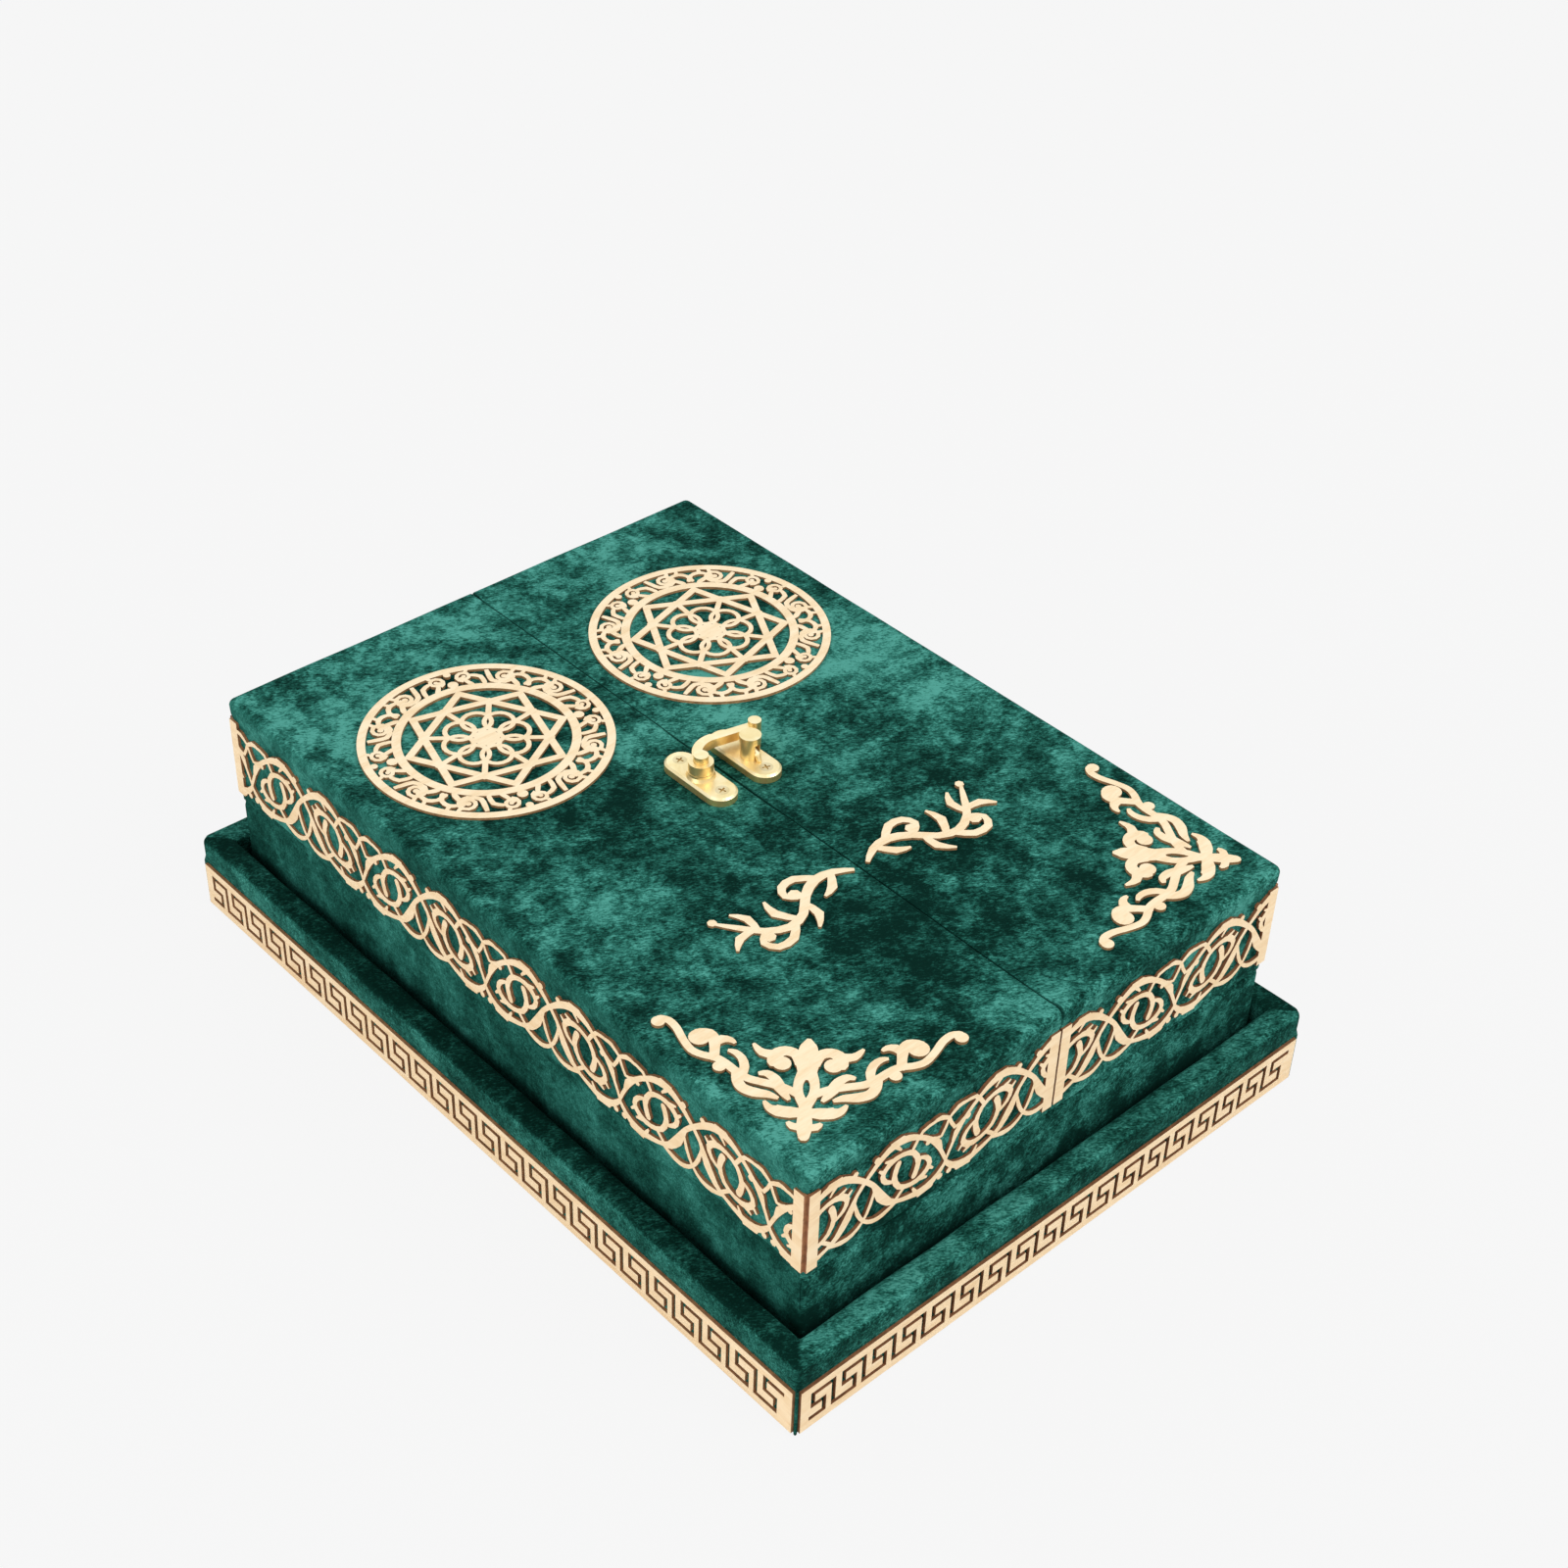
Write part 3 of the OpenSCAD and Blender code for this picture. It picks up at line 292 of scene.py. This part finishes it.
# Materials
class Shader:
    """A material's node tree, with short calls for the nodes that are used here."""

    def __init__(self, name):
        self.material = bpy.data.materials.new(name)
        self.material.use_nodes = True
        self.tree = self.material.node_tree
        self.bsdf = self.tree.nodes["Principled BSDF"]
        self.coord = self.tree.nodes.new("ShaderNodeTexCoord")

    def put(self, target, value):
        if isinstance(value, bpy.types.NodeSocket):
            self.tree.links.new(value, target)
        else:
            target.default_value = value

    def place(self, scale=(1, 1, 1), offset=(0, 0, 0), turn=0, kind="POINT"):
        node = self.tree.nodes.new("ShaderNodeMapping")
        node.vector_type = kind
        node.inputs["Location"].default_value = offset
        node.inputs["Rotation"].default_value = (0, 0, math.radians(turn))
        node.inputs["Scale"].default_value = scale
        self.put(node.inputs["Vector"], self.coord.outputs["Object"])
        return node.outputs["Vector"]

    def combed(self, stretch):
        """Places drawn out along one direction of the flat, for fibres that lie that way."""
        return self.place((stretch, 1, 1), turn=COMB, kind="TEXTURE")

    def noise(self, vector, scale, detail, rough, bend=0.0, out="Fac"):
        node = self.tree.nodes.new("ShaderNodeTexNoise")
        self.put(node.inputs["Vector"], vector)
        node.inputs["Scale"].default_value = scale
        node.inputs["Detail"].default_value = detail
        node.inputs["Roughness"].default_value = rough
        node.inputs["Distortion"].default_value = bend
        return node.outputs[out]

    def math(self, kind, a, b=0.0, c=0.0, clamp=False):
        node = self.tree.nodes.new("ShaderNodeMath")
        node.operation = kind
        node.use_clamp = clamp
        for socket, value in zip(node.inputs, (a, b, c)):
            self.put(socket, value)
        return node.outputs[0]

    def centred(self, value):
        """A noise brought from around 0.5 to around 0."""
        return self.math("SUBTRACT", value, 0.5)

    def vector(self, kind, a, b=None, c=None, out="Vector"):
        node = self.tree.nodes.new("ShaderNodeVectorMath")
        node.operation = kind
        for socket, value in zip(node.inputs, (a, b, c)):
            if value is not None:
                self.put(socket, value)
        return node.outputs[out]

    def facing(self, axis):
        """How far the surface faces along an axis, from -1 to 1."""
        return self.vector("DOT_PRODUCT", self.coord.outputs["Normal"], axis, out="Value")

    def spread(self, value, low, high, to_low=0.0, to_high=1.0):
        """Brings a value from between low and high to between to_low and to_high, smoothly."""
        node = self.tree.nodes.new("ShaderNodeMapRange")
        node.interpolation_type = "SMOOTHSTEP"
        names = ("Value", "From Min", "From Max", "To Min", "To Max")
        for name, number in zip(names, (value, low, high, to_low, to_high)):
            self.put(node.inputs[name], number)
        return node.outputs["Result"]

    def ramp(self, value, stops):
        node = self.tree.nodes.new("ShaderNodeValToRGB")
        node.color_ramp.interpolation = "B_SPLINE"
        points = node.color_ramp.elements
        while len(points) < len(stops):
            points.new(0.5)
        for point, (place, colour) in zip(points, stops):
            point.position = place
            point.color = (*colour, 1)
        self.put(node.inputs["Fac"], value)
        return node.outputs["Color"]

    def mix(self, factor, a, b):
        """Two colours mixed. The node has sockets of every kind, so its colours go by number."""
        node = self.tree.nodes.new("ShaderNodeMix")
        node.data_type = "RGBA"
        for number, value in ((0, factor), (6, a), (7, b)):
            self.put(node.inputs[number], value)
        return node.outputs[2]

    def bump(self, height, strength, distance):
        node = self.tree.nodes.new("ShaderNodeBump")
        node.inputs["Strength"].default_value = strength
        node.inputs["Distance"].default_value = distance
        self.put(node.inputs["Height"], height)
        return node.outputs["Normal"]

    def use(self, colour, rough, normal, constants=None):
        """Joins the results to the shader, sets its constants and gives the material."""
        for name, value in (("Base Color", colour), ("Roughness", rough), ("Normal", normal)):
            self.put(self.bsdf.inputs[name], value)
        for name, value in (constants or {}).items():
            self.bsdf.inputs[name].default_value = value
        return self.material


def scaled(stops, factor):
    """The stops of a ramp with their colours made lighter or darker."""
    return [(place, tuple(factor * v for v in colour)) for place, colour in stops]


def velvet(name, light=1.0, crush=1.0, shift=(0, 0, 0), marks=(), painted_facing_light=None, calm=0.55):
    """Crushed velvet: blotches where the pile lies over, a finer crush, and the fibres themselves.

    light scales its colours and crush its patches, calm is the share of them on the long sides,
    and the facing-light function adds painted light and shade by the surface's place and direction.
    """
    s = Shader(name)
    here = s.place(offset=shift)
    swirl = s.noise(here, scale=55, detail=3, rough=0.6, out="Color")
    swirl = s.vector("SUBTRACT", swirl, (0.5, 0.5, 0.5))
    warped = s.vector("MULTIPLY_ADD", swirl, (PATCH_WANDER,) * 3, here)
    loose = s.vector("MULTIPLY_ADD", swirl, (MARK_WANDER,) * 3, s.coord.outputs["Object"])
    blotch = s.noise(warped, scale=26, detail=6, rough=0.66)
    crushed = s.noise(warped, scale=92, detail=5, rough=0.7)
    fibre = s.noise(s.combed(FIBRE_STRETCH), scale=640, detail=3, rough=0.75, bend=0.4)
    hair = s.noise(s.combed(HAIR_STRETCH), scale=1900, detail=2, rough=0.75)

    patch = s.math("MULTIPLY", s.spread(blotch, 0.39, 0.61, -0.5, 0.5), BLOTCH * crush)
    patch = s.math("MULTIPLY_ADD", s.spread(crushed, 0.35, 0.65, -0.5, 0.5), CRUSH * crush, patch)
    patch = s.math("MULTIPLY_ADD", s.centred(fibre), FIBRE, patch)
    patch = s.math("MULTIPLY_ADD", s.centred(hair), HAIR, patch)
    still = s.spread(s.math("ABSOLUTE", s.facing(ALONG_X)), 0.3, 0.8, 1, calm)
    pile_lie_and_painted_light = s.math("MULTIPLY_ADD", patch, still, EVEN_LIE)
    # Marks: painted light at the lid's rear, painted shade at the box's foot, and other patches
    for centre, reach, change in marks:
        away = s.vector("DIVIDE", s.vector("SUBTRACT", loose, centre), reach)
        away = s.vector("LENGTH", away, out="Value")
        pile_lie_and_painted_light = s.math("ADD", pile_lie_and_painted_light, s.spread(away, 0.3, 1.15, change, 0))
    # Painted light and shade by which way the surface faces, as on the plinth's rim
    if painted_facing_light is not None:
        pile_lie_and_painted_light = s.math("ADD", pile_lie_and_painted_light, painted_facing_light(s))
    pile_lie_and_painted_light = s.math("ADD", pile_lie_and_painted_light, 0, clamp=True)

    pile = s.math("MULTIPLY_ADD", crushed, 0.6, s.math("MULTIPLY", fibre, 0.5))
    constants = {
        "Sheen Weight": 0.06,
        "Sheen Roughness": 0.4,
        "Sheen Tint": VELVET_SHEEN,
        "Specular IOR Level": 0.02,
    }
    return s.use(
        s.ramp(pile_lie_and_painted_light, scaled(VELVET_TONES, light)),
        s.spread(pile_lie_and_painted_light, 0, 1, 0.95, 0.75),
        s.bump(pile, strength=0.5, distance=1 * MM),
        constants,
    )


def rim_painted_light(s):
    """Painted light and shade on the rim: dark on top along the long sides, bright on top along the
    ends.
    """
    size = s.vector("ABSOLUTE", s.coord.outputs["Object"])
    mitre = s.vector("DOT_PRODUCT", size, (1, -1, 0), out="Value")
    long_side = s.spread(mitre, MITRE - MITRE_BLEND, MITRE + MITRE_BLEND)
    up = s.spread(s.facing(ALONG_Z), 0.2, 0.8)
    ends = s.math("MULTIPLY_ADD", up, *RIM_ENDS_PAINTED_LIGHT)
    sides = s.math("MULTIPLY_ADD", up, *RIM_LONG_SIDES_PAINTED_LIGHT)
    return s.math("MULTIPLY_ADD", long_side, s.math("SUBTRACT", sides, ends), ends)


def cut_wood(name, face, grain, burn_and_painted_light, warm=1.0):
    """Pale plywood veneer, burnt where the beam has cut it, the burnt colour holding painted light
    and shade.

    face is the axis that the sheet faces along, and a warm under 1 takes green and blue away.
    """
    s = Shader(name)
    here = s.place(grain)
    figure = s.noise(here, scale=60, detail=4, rough=0.55, bend=0.6)
    pores = s.noise(here, scale=320, detail=2, rough=0.6)
    tones = [(place, (r, g * warm, b * warm * warm)) for place, (r, g, b) in WOOD_TONES]
    wood = s.ramp(s.math("MULTIPLY_ADD", s.centred(pores), 0.45, figure), tones)
    soot = s.noise(s.place(), scale=420, detail=3, rough=0.6)
    # The cut faces' colour: the burn, with painted light and shade in it
    burn_and_painted_light_colour = s.ramp(soot, [(0.3, tuple(SOOT_DARK * v for v in burn_and_painted_light)), (0.7, burn_and_painted_light)])
    cut = s.spread(s.math("ABSOLUTE", s.facing(face)), 0.5, 0.85, 1, 0)
    return s.use(
        s.mix(cut, wood, burn_and_painted_light_colour),
        s.spread(figure, 0.3, 0.7, 0.62, 0.5),
        s.bump(s.math("ADD", figure, pores), strength=0.25, distance=0.12 * MM),
        {"Specular IOR Level": 0.3},
    )


def board(name):
    """Bare board, with its grain along the box."""
    s = Shader(name)
    fine = s.noise(s.place((1, 0.25, 1)), scale=240, detail=5, rough=0.65, bend=0.5)
    broad = s.noise(s.place((1, 0.3, 1)), scale=30, detail=3, rough=0.5)
    both = s.math("MULTIPLY_ADD", broad, 0.4, s.math("MULTIPLY", fine, 0.6))
    return s.use(
        s.ramp(both, BOARD_TONES),
        s.spread(fine, 0.3, 0.7, 0.85, 0.65),
        s.bump(fine, strength=0.3, distance=0.3 * MM),
    )


def brass(name, light=1.0):
    """Clouded brass, painted paler where it faces up as painted light, and darker on its sides as
    painted shade.
    """
    s = Shader(name)
    cloud = s.noise(s.place(), scale=160, detail=4, rough=0.6, bend=0.5)
    scratch = s.noise(s.place((1, 6, 1)), scale=900, detail=2, rough=0.6)
    painted_lit = s.ramp(cloud, scaled(BRASS_PAINTED_LIT_TONES, light))
    painted_shade = s.ramp(cloud, scaled(BRASS_PAINTED_SHADE_TONES, light))
    return s.use(
        s.mix(s.spread(s.facing(ALONG_Z), 0.2, 0.8), painted_shade, painted_lit),
        s.math("MULTIPLY_ADD", scratch, 0.1, s.spread(cloud, 0.3, 0.7, 0.4, 0.3)),
        s.bump(scratch, strength=0.15, distance=0.06 * MM),
        {"Metallic": 0.86},
    )


# Mesh helpers
def smooth(low, high, x):
    """0 at low and 1 at high, eased between them. low may be the greater of the two."""
    t = min(max((x - low) / (high - low), 0), 1)
    return t * t * (3 - 2 * t)


def ripple(p, size, depth):
    """A soft hollow or rise of the padding under the cloth."""
    return depth * noise.noise(Vector(p) / size)


def pushed(points, faces, how):
    """Moves each point along its own outward direction by how(point, direction)."""
    mesh = bpy.data.meshes.new("scratch")
    mesh.from_pydata([tuple(p) for p in points], [], faces)
    mesh.update()
    moved = [v.co + v.normal * how(v.co, v.normal) for v in mesh.vertices]
    bpy.data.meshes.remove(mesh)
    return moved


def grid_lines(low, high, radius, step, marks):
    """Places from low to high and at the marks, close together in the rounded edges at both ends."""
    turn = [math.tan(math.radians(45 * (1 - k / EDGE_STEPS))) for k in range(EDGE_STEPS + 1)]
    near = [radius * (1 - t) for t in turn]
    count = max(1, round((high - low - 2 * radius) / step))
    span = (high - low - 2 * radius) / count
    found = [low + d for d in near] + [high - d for d in near]
    found += [low + radius + span * k for k in range(1, count)]
    found = [v for v in found if all(abs(v - m) > MARK_CLEAR for m in marks)]
    return sorted(found + list(marks))


def rounded_shell(low, high, radius, step, keep, marks, inward=False):
    """The kept faces of a box with rounded edges, as points and quads."""
    lines = [grid_lines(low[i], high[i], radius, step, marks[i]) for i in range(3)]
    index, points, faces = {}, [], []

    def corner(p):
        key = tuple(round(v * SAME_POINT_SCALE) for v in p)
        if key not in index:
            index[key] = len(points)
            core = Vector([min(max(p[i], low[i] + radius), high[i] - radius) for i in range(3)])
            out = Vector(p) - core
            points.append(core + out.normalized() * radius)
        return index[key]

    for axis in range(3):
        u, v = (axis + 1) % 3, (axis + 2) % 3
        for side, level in enumerate((low[axis], high[axis])):
            for (u0, u1), (v0, v1) in product(pairwise(lines[u]), pairwise(lines[v])):
                ring = []
                for a, b in ((u0, v0), (u1, v0), (u1, v1), (u0, v1)):
                    p = [0.0, 0.0, 0.0]
                    p[axis], p[u], p[v] = level, a, b
                    ring.append(p)
                middle = Vector([sum(p[k] for p in ring) / 4 for k in range(3)])
                if keep(axis, side, middle):
                    quad = [corner(p) for p in ring]
                    faces.append(quad if (side == 1) != inward else quad[::-1])
    return points, faces


def rect_ring(half_w, half_l, radius, count_w, count_l):
    """Points round a rectangle with rounded corners, the same number for any size."""
    arcs = []
    for x, y, start in ((1, -1, -90), (1, 1, 0), (-1, 1, 90), (-1, -1, 180)):
        cx, cy = x * (half_w - radius), y * (half_l - radius)
        turns = [math.radians(start + 90 * k / EDGE_STEPS) for k in range(EDGE_STEPS + 1)]
        arcs.append([(cx + radius * math.cos(t), cy + radius * math.sin(t)) for t in turns])
    ring = []
    for k, arc in enumerate(arcs):
        ring += arc
        (x0, y0), (x1, y1) = arc[-1], arcs[(k + 1) % 4][0]
        count = count_l if k % 2 == 0 else count_w
        shares = [c / count for c in range(1, count)]
        ring += [(x0 + (x1 - x0) * t, y0 + (y1 - y0) * t) for t in shares]
    return ring


def swept_ring(half_w, half_l, corner, profile):
    """A profile of (inset, height) swept round a rectangle, as points and quads."""
    count_w, count_l = round(2 * half_w / VELVET_STEP), round(2 * half_l / VELVET_STEP)
    points, faces = [], []
    for inset, height in profile:
        radius = max(corner - inset, LEAST_CORNER)
        for x, y in rect_ring(half_w - inset, half_l - inset, radius, count_w, count_l):
            points.append(Vector((x, y, height)))
    size = len(points) // len(profile)
    for k in range(len(profile) - 1):
        for i in range(size):
            j = (i + 1) % size
            faces.append([k * size + i, k * size + j, (k + 1) * size + j, (k + 1) * size + i])
    return points, faces


def quarter(x, z, radius, start):
    """Profile points on a quarter circle that goes on clockwise from start degrees."""
    turns = [math.radians(start - 90 * k / EDGE_STEPS) for k in range(EDGE_STEPS + 1)]
    return [(x + radius * math.cos(t), z + radius * math.sin(t)) for t in turns]


def upright(low, high):
    """Profile points up the outer face, without the last one."""
    count = max(1, round((high - low) / UPRIGHT_STEP))
    return [(0, low + (high - low) * k / count) for k in range(count)]


# Velvet pieces
def under_strip(p, half_w):
    """How far the covers lie back under a cloth hinge, from 0 to 1."""
    side = smooth(half_w - TUCK_SIDE[0], half_w - TUCK_SIDE[1], abs(p.x))
    foot = smooth(STRIP_LOW, STRIP_LOW + TUCK_FOOT, p.z)
    head = smooth(STRIP_HIGH, STRIP_HIGH - TUCK_EDGE, p.z)
    ends = smooth(STRIP_END, STRIP_END - TUCK_EDGE, abs(p.y))
    return side * foot * head * ends


def leaf_cover(side, material, lining):
    low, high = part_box("leaf_velvet_" + side)
    inner_low, inner_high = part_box("leaf_lining_" + side)
    left = side == "left"
    outer, reach = (0, 1) if left else (1, -1)
    wall_x = (inner_low if left else inner_high).x + LINING * reach
    wall_y = inner_high.y - LINING
    ceiling = inner_high.z - LINING
    half_w, half_l = max(abs(low.x), abs(high.x)), high.y
    seam = -SEAM_OVERLAP * reach

    def keep(axis, at, c):
        inside_y = abs(c.y) < wall_y
        if axis == 0 and at != outer:
            return not (inside_y and c.z < ceiling)
        if axis == 2 and at == 0:
            return not (inside_y and (c.x - wall_x) * reach > 0)
        return True

    def part_at_seam(points):
        """Stops the cover at the seam."""
        for p in points:
            depth = min(high.z - p.z, half_l - abs(p.y))
            end = smooth(half_l - SEAM_END[0], half_l - SEAM_END[1], abs(p.y))
            end *= smooth(high.z - SEAM_END_DEPTH[0], high.z - SEAM_END_DEPTH[1], p.z)
            back = SEAM_OPEN * smooth(*SEAM_OPEN_DEPTH, depth) + SEAM_WIDER * end
            p.x = min(p.x, seam - back) if left else max(p.x, seam + back)

    def swell(p, n):
        edge = min(half_w - abs(p.x), half_l - abs(p.y))
        hem = smooth(*LID_HEM, p.z) * smooth(*LID_HEM_REACH, edge)
        hem *= 1 - LID_HEM_LESS_ON_TOP * max(n.z, 0)
        under = under_strip(p, half_w)
        from_clasp = math.hypot(p.x, (p.y - CLASP_MIDDLE) * CLASP_OVAL)
        pressed = smooth(*CLASP_REACH, from_clasp)
        pile = LID_PILE + ripple(p, *LID_RIPPLE)
        pile = pile * (1 - pressed) - LID_PILE * pressed
        pile *= smooth(*FACING_DOWN, n.z)
        return (pile + HEM * hem) * (1 - under) - LID_TUCK * under

    spare_low, spare_high = low.copy(), high.copy()
    (spare_high if left else spare_low).x = seam + SEAM_SPARE * reach
    marks = ((wall_x,), (-wall_y, wall_y), (ceiling,))
    points, faces = rounded_shell(spare_low, spare_high, LID_EDGE, VELVET_STEP, keep, marks)
    part_at_seam(points)
    points = pushed(points, faces, swell)
    part_at_seam(points)
    cover = add_piece("velvet_leaf_" + side, points, faces, material)
    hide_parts("leaf_velvet_" + side)
    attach(cover, "leaf_" + side)

    def room(axis, at, c):
        if (axis == 0 and at != outer) or (axis == 2 and at == 0):
            return False
        return c.z > low.z and (seam - c.x) * reach > 0

    past_seam = seam + SPARE * reach
    room_low = Vector((min(wall_x, past_seam), -wall_y, low.z - SPARE))
    room_high = Vector((max(wall_x, past_seam), wall_y, ceiling))
    marks = ((seam,), (), (low.z,))
    points, faces = rounded_shell(
        room_low, room_high, LINING_EDGE, LINING_STEP, room, marks, inward=True
    )
    inside = add_piece("lining_leaf_" + side, points, faces, lining)
    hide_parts("leaf_lining_" + side)
    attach(inside, "leaf_" + side)


def lower_cover(material, lining):
    low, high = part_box("box_velvet")
    half_w, half_l, top = high
    inner_low, inner_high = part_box("box_lining")
    inset = half_w - inner_high.x + LINING
    profile = upright(low.z, top - BOX_EDGE)
    profile += quarter(BOX_EDGE, top - BOX_EDGE, BOX_EDGE, 180)
    profile += [(inset / 2, top), (inset, top)]
    points, faces = swept_ring(half_w, half_l, BOX_CORNER, profile)

    def sink(p, n):
        free = smooth(top - BOX_CALM[0], top - BOX_CALM[1], p.z)
        pile = ripple(p, *BOX_RIPPLE) - BOX_SINK
        pile *= BOX_CALM_SHARE + (1 - BOX_CALM_SHARE) * free
        pile *= smooth(*FACING_UP, n.z)
        return pile - BOX_TUCK * under_strip(p, half_w)

    cover = add_piece("velvet_lower_box", pushed(points, faces, sink), faces, material)
    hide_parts("box_velvet")
    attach(cover, "base")

    def room(axis, at, c):
        return c.z < top

    wall_x, wall_y = inner_high.x - LINING, inner_high.y - LINING
    room_low = Vector((-wall_x, -wall_y, inner_low.z + LINING))
    room_high = Vector((wall_x, wall_y, top + SPARE))
    marks = ((), (), (top,))
    points, faces = rounded_shell(
        room_low, room_high, LINING_EDGE, LINING_STEP, room, marks, inward=True
    )
    inside = add_piece("lining_lower_box", points, faces, lining)
    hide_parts("box_lining")
    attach(inside, "base")


def corner_ridge(p, half_w, half_l):
    """Brings the cloth out at a corner, between the ends of two strips."""
    out_w, out_l = abs(p.x) - half_w + RIM_CORNER, abs(p.y) - half_l + RIM_CORNER
    if out_w < -RIDGE_TOUCH or out_l < -RIDGE_TOUCH:
        return
    k = round(EDGE_STEPS * math.atan2(max(out_l, 0), max(out_w, 0)) / (math.pi / 2))
    p.x = math.copysign(half_w + RIDGE[k], p.x)
    p.y = math.copysign(half_l + RIDGE[EDGE_STEPS - k], p.y)


def plinth_cover(material):
    low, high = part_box("plinth_velvet")
    half_w, half_l, top = high
    curve_in, curve_out = TRAY_CURVE
    profile = upright(low.z, top - RIM_EDGE)
    profile += quarter(RIM_EDGE, top - RIM_EDGE, RIM_EDGE, 180)
    profile += [(RIM / 2, top + RIM_CROWN)]
    profile += quarter(RIM - RIM_EDGE, top - RIM_EDGE, RIM_EDGE, 90)
    profile += [(RIM, top - RIM_INSIDE), (RIM, TRAY + curve_out)]
    profile += [(RIM + curve_in, TRAY + curve_in), (RIM + curve_out, TRAY), (RIM + TRAY_REACH, TRAY)]
    points, faces = swept_ring(half_w, half_l, RIM_CORNER, profile)
    size = len(points) // len(profile)
    faces.append(list(range(len(points) - size, len(points))))

    def swell(p, n):
        across = n.x * math.copysign(1, p.x) if half_w - abs(p.x) < RIM_OUTSIDE else 0
        along = n.y * math.copysign(1, p.y) if half_l - abs(p.y) < RIM_OUTSIDE else 0
        hem = smooth(KEY_TOP, KEY_TOP + KEY_HEM, p.z) * smooth(0.1, 0.8, max(across, along))
        return (ripple(p, *PLINTH_RIPPLE) - RIM_SINK) * smooth(*RIM_RISE, p.z) + HEM * hem

    points = pushed(points, faces, swell)
    for p in points:
        if p.z < KEY_TOP + RIDGE_ABOVE_KEY:
            corner_ridge(p, half_w, half_l)
    cover = add_piece("velvet_plinth", points, faces, material)
    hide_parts("plinth_velvet")
    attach(cover, "base")


def cloth_hinge(side, material):
    low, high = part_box("hinge_cloth_" + side)
    outer, reach = (low.x, -1) if side == "left" else (high.x, 1)
    points, faces = [], []
    for i in range(STRIP_ROWS + 1):
        z = STRIP_LOW + (STRIP_HIGH - STRIP_LOW) * i / STRIP_ROWS
        up = i / STRIP_ROWS
        ease = smooth(0, STRIP_EASE, up) * smooth(0, STRIP_EASE, 1 - up)
        fold = STRIP_FOLD * math.exp(-(((z - PARTING) / STRIP_FOLD_WIDTH) ** 2))
        for j in range(STRIP_COLUMNS + 1):
            y = low.y + (high.y - low.y) * j / STRIP_COLUMNS
            wave = ripple((outer, y, z), *LID_RIPPLE)
            points.append((outer + reach * ((wave - fold) * ease - STRIP_SINK), y, z))
    row = STRIP_COLUMNS + 1
    for i, j in product(range(STRIP_ROWS), range(STRIP_COLUMNS)):
        a = i * row + j
        quad = [a, a + 1, a + row + 1, a + row]
        faces.append(quad if side == "right" else quad[::-1])
    strip = add_piece("velvet_hinge_" + side, points, faces, material)
    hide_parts("hinge_cloth_" + side)
    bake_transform(strip)


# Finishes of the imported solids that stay
def ease_edges(obj):
    """Rounds the sharp edges of a metal node."""
    bevel = obj.modifiers.new("ease", "BEVEL")
    bevel.width = BRASS_EASE
    bevel.segments = 2
    bevel.limit_method = "ANGLE"
    bevel.angle_limit = math.radians(BRASS_EASE_ANGLE)
    bevel.harden_normals = True


def dress(names, material):
    for name in names:
        mesh = nodes[name].data
        mesh.materials.clear()
        mesh.materials.append(material)


def both_sides(*starts):
    return [start + side for start in starts for side in SIDES]


def add_velvet():
    # The lid's and the box's marks hold painted light and shade
    lid = velvet("crushed_velvet_lid", marks=LID_MARKS_AND_PAINTED_LIGHT)
    box = velvet("crushed_velvet_box", shift=(0.3, 0.1, 0.2), marks=BOX_MARKS_AND_PAINTED_SHADE)
    # The plinth's rim is painted light and shade by which way its faces face
    plinth = velvet(
        "crushed_velvet_plinth", crush=0.75, shift=(0.7, 0.4, 0.1), painted_facing_light=rim_painted_light, calm=0.8
    )
    lining = velvet("velvet_lining", light=1.1, crush=0.5, shift=(0.2, 0.8, 0.5))
    for side in SIDES:
        leaf_cover(side, lid, lining)
        cloth_hinge(side, box)
    lower_cover(box, lining)
    plinth_cover(plinth)


def dress_wood():
    flat = both_sides("medallion_", "corner_ornament_", "flourish_")
    ends = both_sides("band_front_", "band_rear_") + ["key_strip_front", "key_strip_rear"]
    sides = both_sides("band_", "key_strip_")
    boards = [n for n in nodes if "_wall_" in n or "rail" in n or n.startswith("panel_")]
    boards += ["plinth_board", "box_floor"]
    # The burnt colours hold painted shade on the ends and painted light on the top and sides
    dress(flat, cut_wood("cut_wood_top", ALONG_Z, (1, 5, 1), burn_and_painted_light=(0.5, 0.27, 0.12)))
    dress(ends, cut_wood("cut_wood_ends", ALONG_Y, (1, 1, 5), burn_and_painted_light=(0.34, 0.14, 0.06), warm=0.945))
    dress(sides, cut_wood("cut_wood_sides", ALONG_X, (1, 1, 5), burn_and_painted_light=(0.56, 0.25, 0.11), warm=0.935))
    dress(boards, board("raw_board"))


def dress_clasp():
    metal = [n for n in nodes if n.startswith("clasp_")]
    dress([n for n in metal if "screws" not in n], brass("brass"))
    # The screws' brass is darker, as painted shade for the gap round their heads
    dress([n for n in metal if "screws" in n], brass("brass_screws", light=0.82))
    for name in metal:
        ease_edges(nodes[name])


def build():
    bpy.context.scene.view_settings.view_transform = "Standard"
    add_camera()
    add_world()
    add_floor()
    for lamp in LAMPS:
        add_lamp(*lamp)
    add_velvet()
    dress_wood()
    dress_clasp()


build()
